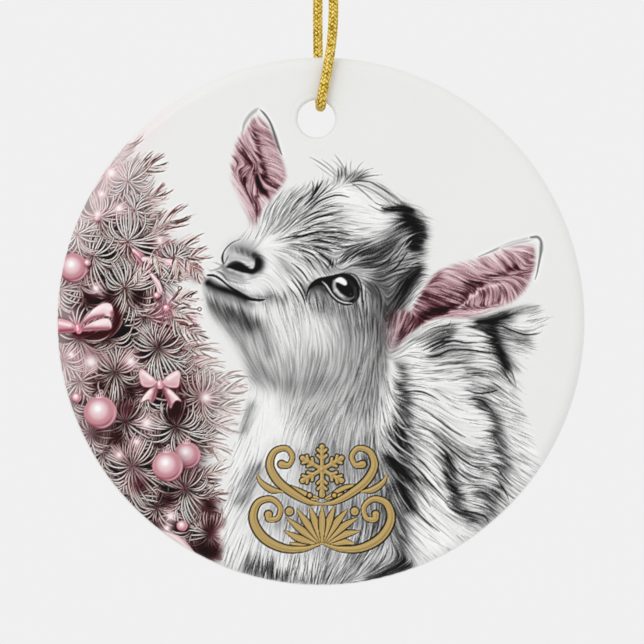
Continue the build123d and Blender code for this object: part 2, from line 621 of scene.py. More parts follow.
def streaks(flow, length, grain, seed, box=None, wobble=0.0):
    """Noise drawn out along the flow, of zero mean and unit spread."""
    fx, fz = flow
    if wobble:
        turn = wobble * white_noise(seed + 500, 1.2)
        fx, fz = fx * np.cos(turn) - fz * np.sin(turn), fx * np.sin(turn) + fz * np.cos(turn)
    noise = white_noise(seed, grain)
    rows, cols = box or (slice(0, SIZE), slice(0, SIZE))
    v0, u0 = np.mgrid[rows, cols].astype(np.float32)
    total = noise[rows, cols].copy()
    step = 1.35
    count = int(length / 2 / PITCH / step)
    for sign in (1, -1):
        u, v = u0.copy(), v0.copy()
        for k in range(1, count + 1):
            i, j = np.rint(u).astype(np.int32), np.rint(v).astype(np.int32)
            np.clip(i, 0, SIZE - 1, out=i)
            np.clip(j, 0, SIZE - 1, out=j)
            u += sign * step * fx[j, i]
            v += sign * step * fz[j, i]
            i, j = np.rint(u).astype(np.int32), np.rint(v).astype(np.int32)
            np.clip(i, 0, SIZE - 1, out=i)
            np.clip(j, 0, SIZE - 1, out=j)
            w = 0.5 + 0.5 * math.cos(math.pi * k / (count + 1))
            total += w * noise[j, i]
    total -= total.mean()
    total /= total.std()
    out = np.zeros((SIZE, SIZE), np.float32)
    out[rows, cols] = total
    return out


def furred(layer, flow, strands, reach):
    """A layer whose soft edges break up into hairs that run along the flow."""
    shift = reach * np.clip(strands, -2, 2)
    return sample(layer, GX - flow[0] * shift, GZ - flow[1] * shift)


# Hairs are drawn in steps of this many canvas points.
HAIR_STEP = 0.7


def hairs(flow, rng, density, count, length, width):
    """Cover, from 0 to 1, of fine tapered hairs that follow the flow where density calls for them."""
    rows, cols = np.nonzero(density > 0.02)
    weight = density[rows, cols]
    picked = rng.choice(len(rows), count, p=weight / weight.sum())
    x = GX[rows[picked], cols[picked]] + rng.uniform(-0.5, 0.5, count).astype(np.float32) * PITCH
    z = GZ[rows[picked], cols[picked]] + rng.uniform(-0.5, 0.5, count).astype(np.float32) * PITCH
    reach = length * rng.uniform(0.6, 1.3, count)
    wide = width * rng.uniform(0.7, 1.3, count)
    force = rng.uniform(0.55, 1.0, count)
    lean = rng.normal(0, 0.07, count)
    cover = np.zeros(SIZE * SIZE, np.float32)
    steps = int(length * 1.3 / (HAIR_STEP * PITCH)) + 1
    near_by = [(a, b) for a in range(-2, 3) for b in range(-2, 3) if a * a + b * b <= 5]
    for k in range(steps):
        t = k * HAIR_STEP * PITCH / reach
        live = t < 1
        half = wide * np.clip(1 - t, 0, 1) ** 0.7 * np.clip(0.3 + 3 * t, 0, 1)
        i = np.clip(((x + HALF) / PITCH).astype(np.int32), 3, SIZE - 4)
        j = np.clip(((z + HALF) / PITCH).astype(np.int32), 3, SIZE - 4)
        for a, b in near_by:
            d = np.hypot(AXIS[i + a] - x, AXIS[j + b] - z)
            c = force * np.clip((half - d) / PITCH + 0.5, 0, 1) * live
            np.maximum.at(cover, (j + b) * SIZE + i + a, c.astype(np.float32))
        fx, fz = flow[0][j, i], flow[1][j, i]
        x = x + HAIR_STEP * PITCH * (fx - lean * fz)
        z = z + HAIR_STEP * PITCH * (fz + lean * fx)
    return cover.reshape(SIZE, SIZE)


# The kid's coat: strokes combed from root to tip.
COMB = [
    [(-8, 11.2), (-7, 13), (-6, 15.5), (-5, 17)],
    [(-7, 11.3), (-5, 13), (-3, 16), (-1.2, 17.6), (0.2, 19.3)],
    [(-6, 11.2), (-4, 12.3), (-2, 13.6), (0, 14.6), (2, 15.1), (4, 15.3), (6, 15)],
    [(-5, 13), (-2, 15.4), (-0.5, 16.6), (1, 17.2), (2.4, 17.5), (4, 17.2)],
    [(-6, 11), (-2, 12), (0, 12.4), (2, 12.3), (4, 12), (6, 11.9), (8, 12)],
    [(-3, 12.8), (0, 13.3), (3, 13.3), (6, 13), (9, 13)],
    [(-5, 11.2), (-1.6, 11.8), (1, 11.7), (3, 11.4), (4.6, 11.2)],
    [(-4, 11), (-2, 11), (0, 10.9), (2, 10.5), (3, 10.1)],
    [(-4, 10.6), (-1.8, 9.9), (0, 9.2), (1.2, 8.3), (1.6, 7.6)],
    [(-6.5, 10.5), (-3.5, 9.4), (-2, 8.7), (-1, 7.6), (-0.2, 6.4)],
    [(-7, 9), (-4.5, 6.8), (-2.7, 4.6), (-2, 3)],
    [(-6, 7), (-4, 4.5), (-3, 2), (-2.4, -1)],
    [(-9.4, 11.5), (-8.8, 12.5), (-8.6, 14)],
    [(-12, 6.6), (-10, 6.2), (-8, 6.6), (-6.5, 5.6), (-5.2, 3.2), (-4.4, 0)],
    [(-7.4, 2.4), (-7, 0.6), (-6.2, -1.4), (-5.4, -4)],
    [(-15.3, 3.4), (-14.9, 1.8), (-13.8, -0.4), (-12.2, -2.8), (-10, -6), (-7.8, -8.8)],
    [(-11.6, 2.6), (-11.1, 0.6), (-10.3, -1.6), (-9, -4.6), (-7.6, -7.6)],
    [(-13.6, 3.4), (-13.1, 1.6), (-12.2, -0.6), (-10.8, -3.4)],
    [(-9.4, 2.2), (-9, 0.4), (-8.4, -1.8), (-7.4, -4.6)],
    [(-5, -2), (-4.4, -5), (-4.2, -8.6)],
    [(-2.6, 2), (-2, -2), (-2.4, -6), (-3.4, -10)],
    [(0.4, 2), (1.4, -2), (1.4, -6), (0.2, -9), (-1.6, -12), (-3.6, -15)],
    [(3.6, 1.6), (4.2, -3), (3.6, -7.6), (2, -11.4), (0.4, -15), (-1, -19)],
    [(6.8, 2.6), (6.9, -2), (6, -7), (4.6, -11), (3.4, -15), (2.6, -19)],
    [(8.2, -3), (8, -8), (7.6, -13), (7.2, -18)],
    [(8.8, -1), (8.5, -6), (8.9, -9.6), (9.8, -12.8), (11.2, -16)],
    [(5.8, 5.4), (6.9, 4.6), (7.5, 3.4), (7.7, 1.6)],
    [(8.3, 2.4), (8.2, 0.6), (8, -1.4)],
    [(5, 7.2), (7, 7.2), (9, 7.7), (11, 8.6), (13, 9.2), (15, 9.4)],
    [(6, 8), (8, 8.3), (10, 9.4), (12, 11.2), (13.4, 12.6)],
    [(3.4, 8.2), (4.6, 9.2), (6, 10), (8, 10.8), (10.4, 12.2), (12.4, 13.4)],
    [(2.6, 8.6), (3.4, 9.5), (4.6, 10.2), (6.4, 10.9), (8.6, 12), (10.6, 13.2)],
    [(12, 14.6), (13.4, 13.8), (15.2, 13.1)],
    [(12.6, 12.4), (14, 12), (15.4, 11.6)],
    [(12.4, 10), (13.8, 9.8), (15, 9.9)],
    [(3.4, 19.8), (3.4, 20.8), (3.3, 22)],
    [(2.6, 19.8), (2.6, 21.2), (2.1, 22.8)],
    [(4.2, 19.6), (4.6, 20.6), (5, 21.8)],
    [(4.2, 19.4), (5.2, 20.2), (6.6, 21)],
    [(4.2, 19.2), (5.6, 19.8), (7.6, 20.1)],
    [(4, 19.1), (5.5, 19.3), (7, 19.1), (8.5, 18.4), (10, 17.4), (11.6, 16.1)],
    [(4, 18.9), (5.5, 18.7), (7, 18), (8.6, 17), (10, 16)],
    [(4, 18.7), (5.5, 18), (6.8, 16.9), (8, 16.1), (9.4, 15.7), (11, 15.7), (13, 15.5), (15, 15)],
    [(6, 16.3), (7.6, 15.5), (9, 15.1), (11, 14.9)],
    [(-0.9, 17.8), (-0.5, 18.7), (-0.4, 20)],
    [(1.9, 19.8), (1.7, 20.8), (0.8, 21.8), (-0.6, 22.7)],
    [(9.4, 6.4), (11, 7), (13, 7.4), (15, 7)],
    [(9.2, -1), (9.8, 1.5), (10.6, 3), (11.5, 4.5), (12.4, 6), (13.5, 7.2)],
    [(-7, -10.4), (-7, -14), (-7.6, -18), (-9.4, -22), (-11.6, -26), (-13.6, -30)],
    [(-8.8, -10), (-9.8, -13), (-11, -16.4), (-12.8, -20)],
    [(-4, -10.4), (-5, -15), (-6, -20), (-8, -26), (-10, -33)],
    [(-2, -12), (-3.4, -16), (-4.2, -22), (-5, -28), (-6, -35)],
    [(0.6, -18), (0.6, -22), (0, -27), (-1.4, -36)],
    [(5, -18), (5.4, -22), (5, -27), (4.4, -31), (2, -35.6)],
    [(8, -17), (8.6, -21), (8.8, -25), (7.8, -30), (5, -34.6)],
    [(8.4, -15.6), (9.6, -17.4), (11.2, -19), (13.4, -20.4), (15.6, -22.8), (18, -25.2), (20.6, -26.4),
     (22.4, -26.7), (23.8, -27.8)],
    [(8.4, -18), (10.4, -20.4), (12.4, -22.4), (14, -24.4), (15.6, -26.4), (18, -28.6)],
    [(9, -21), (10.4, -24), (12, -26.8), (14.4, -29), (17, -31)],
    [(9.4, -25), (10.6, -28.6), (13, -31.6), (15, -33.4)],
    [(10.2, -12.8), (11.2, -14.2), (13, -15.4), (15.4, -16.4), (17.4, -18), (19, -20.2), (21, -21.6),
     (23.6, -22.2)],
    [(11, -11.4), (13.4, -12.6), (16, -13.8), (18.6, -16), (21, -17.6), (23.4, -18)],
    [(11, -9.6), (13.4, -9.6), (15, -10), (17, -11.4), (19.4, -12.6), (23, -13)],
    [(11.2, -7.4), (14, -7.6), (17, -7.4), (20, -7), (23, -7.2), (25, -8.2), (27, -9.8)],
    [(12.6, -5.4), (15, -5.9), (18, -5.8), (21, -5.6), (24, -5.6), (25.4, -6.6), (26.6, -8)],
    [(14, -4.6), (15.6, -4.8), (17, -4.3), (18, -3.9), (20, -3.9), (22.5, -4.3), (24.6, -4.9), (26, -6.4)],
    [(14.4, -3.9), (16, -3.1), (17.2, -2.8), (18.6, -2.7), (20, -2.9), (23, -3), (27, -3.4), (29.6, -4.2)],
    [(13, -3), (14.6, -2.2), (16, -1.2), (18, -0.7), (21, -0.7), (23, -1.2), (26, -2.2), (29, -2.6)],
    [(21.4, 0), (23, 0.2), (25, 0.7), (27.4, 1.5), (29.6, 2)],
    [(23.6, -0.4), (25, -0.6), (26.6, -1.2), (28.2, -1.8), (29.6, -1.7), (30.8, -1.1)],
    [(20, -10.8), (21.6, -10.7), (23, -11.5), (24.4, -12.4), (26.4, -13), (28.4, -13.8)],
    [(22, -15.4), (24, -15.6), (26, -17), (29, -18.8)],
    [(22, -20.4), (24, -20.6), (26, -22.4), (28.6, -24.2)],
    [(20, -23.4), (22.4, -23.2), (24.4, -24.8), (26.4, -26.4)],
    [(12, -34), (8, -36), (5, -36)],
    [(9.6, -4.6), (11.4, -3.4), (14, -1.6), (17, -0.9), (20, -0.6)],
]

# The kid's outline, from the nose round the head, back and chest.
KID = [
    (-13.5, 8.3), (-13.4, 9.5), (-12.8, 10.5), (-11.2, 11.8), (-9.4, 12.8), (-8.4, 14.4), (-7.2, 16.6),
    (-5, 18), (-2.4, 18.8), (0, 19.6), (1.4, 20.4), (2.6, 21.2), (4.4, 21.2), (6.2, 20.4), (9, 18.6),
    (11.6, 16.6), (14, 15.6), (14.8, 14.2), (14.8, 11), (14.5, 7.6), (15.4, 4), (17, 0.4), (22, 0.6),
    (26, 1.8), (30, 2), (31, -0.6), (29.4, -3.4), (27.4, -6.4), (27.6, -10), (28.4, -14), (29.6, -17.6),
    (31.6, -22), (28, -30), (18, -38), (0, -42), (-12, -40), (-13.4, -34), (-13.5, -28), (-12.8, -22.4),
    (-11.8, -17), (-10.4, -12.4), (-9.8, -9.4), (-10.6, -5.4), (-12.2, -2.6), (-14.2, -0.4), (-15.5, 2),
    (-15.8, 4), (-15.7, 6.6), (-14.6, 7.1),
]

# Soft shading of the coat: width, tone, strength, then places.
SHADE = [
    # chest and body as a whole
    (4.0, 0.92, 0.85, [(-7, -22), (-8, -29), (-7, -34)]),
    (3.2, 0.74, 0.75, [(1.6, -20), (2, -26), (0.6, -33)]),
    (2.3, 0.64, 0.8, [(6.6, -18), (8, -24), (7.6, -30)]),
    (1.2, 0.42, 0.7, [(7.6, -19.6), (8.8, -24), (9.4, -28)]),
    (1.3, 0.46, 0.7, [(5.6, -31), (4.2, -33.4), (2.6, -35.2)]),
    (1.2, 0.36, 0.85, [(10.6, -26), (11.4, -29), (11, -32)]),
    (5.0, 0.88, 0.8, [(15, -6), (19, -8), (24, -8)]),
    (4.0, 0.89, 0.7, [(16, -12), (19, -14)]),
    # head seen as a whole
    (3.2, 0.87, 0.8, [(-2, 12), (2, 12.4), (5, 11.4)]),
    (2.4, 0.88, 0.7, [(-3.4, 8), (-2, 5)]),
    (1.5, 0.60, 0.6, [(-1.4, 13.6), (0.4, 14.4), (1.6, 14.6)]),
    (1.2, 0.58, 0.6, [(-3.6, 10.6), (-1, 10.9), (1.2, 10.6)]),
    (1.0, 0.60, 0.6, [(-1.4, 12), (0.6, 12), (2.6, 12)]),
    (1.3, 0.62, 0.6, [(-3.6, 14.6), (-2, 16.2), (-1, 17.4)]),
    (0.6, 0.45, 0.6, [(-1.4, 16.9), (-0.8, 17.8), (-0.4, 18.6)]),
    (1.4, 0.60, 0.7, [(-6.6, 14), (-5, 15.6), (-3.6, 17)]),
    (1.6, 0.74, 0.6, [(-7, 12.4), (-4, 13), (-2, 13.4)]),
    (1.0, 0.50, 0.7, [(-0.6, 8.6), (0.8, 7.6)]),
    (1.4, 0.43, 0.8, [(0.6, 2.4), (3, 1.4), (5, 1.5)]),
    (1.3, 0.68, 0.6, [(-5.4, 8.4), (-4, 7), (-2.6, 5.4)]),
    (1.1, 0.52, 0.8, [(-2.8, 3.6), (-1.6, 2.6), (-0.6, 1.8)]),
    (0.8, 0.45, 0.8, [(1.3, 7.6), (1.6, 8.2)]),
    (1.3, 0.70, 0.8, [(2.6, 7.6), (4.6, 7.6), (7, 7.5), (9, 7.6)]),
    (1.8, 0.94, 0.95, [(2.2, 18.8), (3.4, 18.2), (4.8, 17), (6.4, 15.6), (7.6, 14.6), (8.6, 13.6)]),
    (1.6, 0.93, 0.8, [(-9.5, 11), (-7.6, 10.6), (-6.6, 9.4)]),
    (1.4, 0.93, 0.9, [(-8.2, 5.4), (-7.6, 7.4), (-7.4, 9)]),
    (0.8, 0.48, 0.8, [(2.6, 19.9), (3.6, 20.1), (4.6, 19.9), (5.6, 20.1)]),
    (0.7, 0.70, 0.7, [(5.4, 19.4), (7, 18.8), (8.6, 17.8), (10.2, 16.7)]),
    # dark patch from brow to poll
    (1.8, 0.36, 0.9, [(6.2, 9.2), (8, 9.4), (9.8, 10.8), (11.4, 12.6)]),
    (1.3, 0.24, 0.85, [(6.8, 8.9), (8.4, 9.4), (9.8, 10.4)]),
    (1.0, 0.45, 0.7, [(3.6, 8.9), (5, 9.6), (6.4, 10.1)]),
    (0.9, 0.58, 0.8, [(10.2, 8.8), (11, 9.9), (11.8, 11)]),
    (1.4, 0.02, 1.0, [(11.9, 14.2), (12.6, 13.6), (13.2, 12.8), (13.4, 11.6), (13.2, 10.4)]),
    (0.9, 0.16, 0.8, [(13.6, 12.6), (13.7, 11), (13.4, 9.6)]),
    (0.5, 0.10, 0.85, [(9, 15.5), (10.2, 15.6), (11.4, 15.6), (12.6, 15.4)]),
    (1.0, 0.34, 0.85, [(9.6, 7), (10.8, 7.2), (12, 6.6)]),
    (0.8, 0.66, 0.8, [(11, 8), (12.8, 8.7), (14, 8.9)]),
    (1.6, 0.48, 0.85, [(7.6, 5.2), (9, 6), (10.6, 6.4)]),
    (1.3, 0.10, 0.97, [(13.2, 7.0), (12.6, 6.2), (11.5, 4.4), (10.7, 2.9), (9.9, 1.5), (9.4, 0.2)]),
    (1.6, 0.46, 0.85, [(7.4, 4.2), (7.4, 1.6), (7, -0.4)]),
    (1.9, 0.36, 0.9, [(8.8, 5.4), (9, 3), (8.4, 0.6)]),
    (1.2, 0.40, 0.8, [(8.2, 7.6), (9.8, 8.0), (10.8, 8.6)]),
    (1.5, 0.50, 0.8, [(4, 2), (5.6, 1.2), (6.8, -0.2)]),
    (1.9, 0.39, 0.9, [(7.9, -1), (8.2, -3.6), (7.8, -6)]),
    (1.6, 0.46, 0.85, [(7.4, -7), (7, -10)]),
    # cheek, jaw and throat
    (4.0, 0.885, 0.85, [(-5, 1), (-3, -2)]),
    (2.6, 0.54, 0.85, [(4, -1), (5, -4), (6, -8)]),
    (2.6, 0.66, 0.85, [(-4, -6.2), (0, -5.8), (3, -6)]),
    (3.2, 0.62, 0.9, [(2, -9), (4, -11), (6, -12)]),
    (2.0, 0.70, 0.7, [(-3.8, -11.4), (-1, -12), (1, -12)]),
    (3.0, 0.66, 0.85, [(0, -13), (2, -16), (4, -19)]),
    (2.4, 0.66, 0.85, [(6.4, -15), (6, -19)]),
    (2.4, 0.68, 0.85, [(-9, -3), (-8.6, -5.8), (-6.6, -7.4)]),
    (1.5, 0.56, 0.85, [(-8.2, -7.2), (-6.4, -8.4), (-4.4, -8.8), (-2, -8.5), (0, -8.3)]),
    (1.0, 0.58, 0.6, [(-3.4, -9.9), (-1.2, -9.9), (0.6, -9.3)]),
    (1.6, 0.34, 0.92, [(-14.8, 2.2), (-13.8, 1.4), (-12.4, 0.7), (-10.6, 0.5)]),
    (1.2, 0.50, 0.7, [(-11.6, -1), (-10.2, -0.8), (-8.8, -0.2)]),
    (1.3, 0.34, 0.85, [(-12.4, 0.9), (-11, 0.3), (-9.4, -0.4)]),
    (1.3, 0.60, 0.8, [(-12.6, -1.6), (-11.2, -3.4), (-10, -5.4), (-9, -7)]),
    (0.8, 0.52, 0.7, [(-7.9, -1.4), (-7.5, -3), (-7.2, -4.4)]),
    (2.4, 0.94, 0.95, [(-7.8, -11.6), (-7.2, -14.6), (-7.4, -18)]),
    (1.1, 0.90, 0.6, [(-9.2, 1.8), (-7.4, 1.0)]),
    (0.9, 0.52, 0.8, [(-8, 3.2), (-6.6, 3.3), (-5.2, 3.1)]),
    (0.8, 0.92, 0.9, [(9.9, -5.8), (9.8, -8), (9.5, -11), (8.7, -14.4)]),
    (0.9, 0.38, 0.95, [(11.5, -6.6), (11.6, -9.5), (11.7, -12), (11.7, -14.5)]),
    (1.0, 0.36, 0.85, [(11.5, -11.6), (11.5, -13.6)]),
    # chest
    (0.9, 0.50, 0.7, [(-9.8, -11.8), (-10.3, -13.4), (-10.9, -14.8)]),
    (1.0, 0.48, 0.7, [(-9, -20.6), (-10.2, -22.8), (-11.2, -24.8)]),
    (1.5, 0.36, 0.85, [(-9.8, -34), (-7.8, -34.6), (-5.6, -35.4)]),
    (1.2, 0.62, 0.7, [(-4.4, -35.4), (-2, -36), (0, -36)]),
    (2.2, 0.58, 0.75, [(-5, -27), (0.2, -27.8), (5, -27), (7.4, -27)]),
    # body
    (0.9, 0.42, 0.8, [(13.4, -2.9), (15, -2.2), (16.4, -1.5), (18, -1)]),
    (0.9, 0.24, 0.8, [(15.4, -3.6), (16.6, -2.9), (17.8, -2.3)]),
    (0.7, 0.40, 0.8, [(15, -4.9), (16.6, -4.4), (18, -3.9), (20.4, -4)]),
    (1.0, 0.10, 0.95, [(21.8, 0), (23, 0.2), (24.4, 0.5), (25.6, 0.8)]),
    (0.8, 0.46, 0.8, [(26.4, 1.2), (27.6, 1.6), (29.4, 2)]),
    (1.15, 0.10, 0.95, [(23.4, -0.6), (23.9, -2), (24.5, -3.4), (25, -5), (25.5, -6.2)]),
    (0.9, 0.42, 0.7, [(25.4, -1.4), (27, -2.2), (28.4, -2.4)]),
    (0.8, 0.54, 0.8, [(20.4, -6.8), (22, -7.1), (24, -7)]),
    (0.8, 0.54, 0.8, [(20.8, -9.2), (22.4, -9.6), (24.6, -9.3)]),
    (1.2, 0.66, 0.7, [(17.4, -5.9), (19.6, -5.5)]),
    (1.0, 0.34, 0.9, [(22.2, -11.2), (23.4, -12.4), (24.2, -14), (24.6, -16), (24.9, -18), (25.2, -20)]),
    (1.2, 0.42, 0.8, [(25, -20.4), (24.8, -22.4), (24, -25), (22.8, -27)]),
    (1.1, 0.54, 0.8, [(16.4, -16), (18, -17.4), (20, -18.4)]),
    (1.25, 0.04, 1.0, [(10.9, -15.9), (11.6, -17.4), (12.4, -18.8)]),
    (1.35, 0.02, 1.0, [(10, -19.2), (11.2, -20.4), (12.6, -21.4), (14, -22.6)]),
    (1.2, 0.05, 1.0, [(10.6, -22.4), (11.4, -23.8), (12.2, -25.4)]),
    (1.0, 0.10, 0.95, [(17.6, -19.4), (18, -21.6), (18.5, -23.4), (18.7, -24.4)]),
    (1.1, 0.26, 0.9, [(17.6, -25.2), (19, -26.1), (20.6, -27)]),
    (1.0, 0.34, 0.8, [(21.8, -23.3), (23.2, -24)]),
    (1.0, 0.52, 0.7, [(22.2, -18.4), (22.4, -21)]),
    (1.4, 0.12, 0.9, [(7.4, -35.6), (9.6, -34.8), (11.4, -33.6)]),
    (2.0, 0.94, 0.95, [(14, -19), (15.4, -23), (16.4, -28), (16, -32)]),
    (1.5, 0.94, 0.9, [(13.2, -4.6), (13.8, -7), (14.4, -8.6)]),
    (1.6, 0.90, 0.8, [(20, -13.6), (21, -15.6)]),
    (2.0, 0.50, 0.40, [(3.4, -26.2), (6, -28.6), (8.2, -27.2)]),
    (1.4, 0.35, 0.40, [(8.8, -24.4), (9.6, -27), (9.4, -29.6)]),
    (1.2, 0.62, 0.35, [(-7.4, -27), (-3.4, -28.2)]),
]

# Where strands stand out sharply: width, sharpness, then places.
CRISP = [
    (5.0, 0.95, [(-3, 10), (0, 13), (4, 13)]),
    (2.6, 0.80, [(-3.4, 6), (-1.6, 4)]),
    (2.4, 0.25, [(-8.6, 4.6), (-6.6, 6.4), (-6.4, 8)]),
    (2.6, 0.65, [(7, 9), (10, 11), (12, 9)]),
    (3.0, 0.22, [(5, 16), (7.6, 14.4)]),
    (2.4, 0.32, [(8.6, 5), (8.4, 1), (7.6, -4), (7.2, -8)]),
    (4.5, 0.30, [(-5, -2), (-2, -4)]),
    (3.4, 0.24, [(2, -1.5), (3, -5.5), (3.4, -9)]),
    (2.4, 0.28, [(-11, 1.6), (-8.4, -1.6), (-6, -4)]),
    (2.2, 0.15, [(-14.2, 1.6), (-12, -1), (-10, -5)]),
    (2.2, 0.12, [(-8.6, -6), (-5, -8.4), (-1.4, -8.6)]),
    (4.0, 0.36, [(2, -12), (4, -17)]),
    (3.0, 0.12, [(-7.4, -11), (-7, -16)]),
    (6.0, 0.70, [(14, -10), (22, -10)]),
    (4.0, 1.00, [(10.6, -17), (12, -22), (18, -22)]),
    (5.0, 0.80, [(24, -20), (22, -26)]),
    (4.0, 0.45, [(-8, -24), (-8, -32)]),
    (4.0, 0.80, [(2, -24), (7, -22), (7, -31)]),
    (2.4, 0.9, [(-8, -34), (0, -35)]),
]

# Where the outline is soft rather than tufted.
SOFT_EDGE = [(-16, 3), (-13.6, -1), (-11, -5), (-9.4, -9)]
SOFT_POLL = [(15.4, 13), (15.2, 10.6), (15, 8.4)]

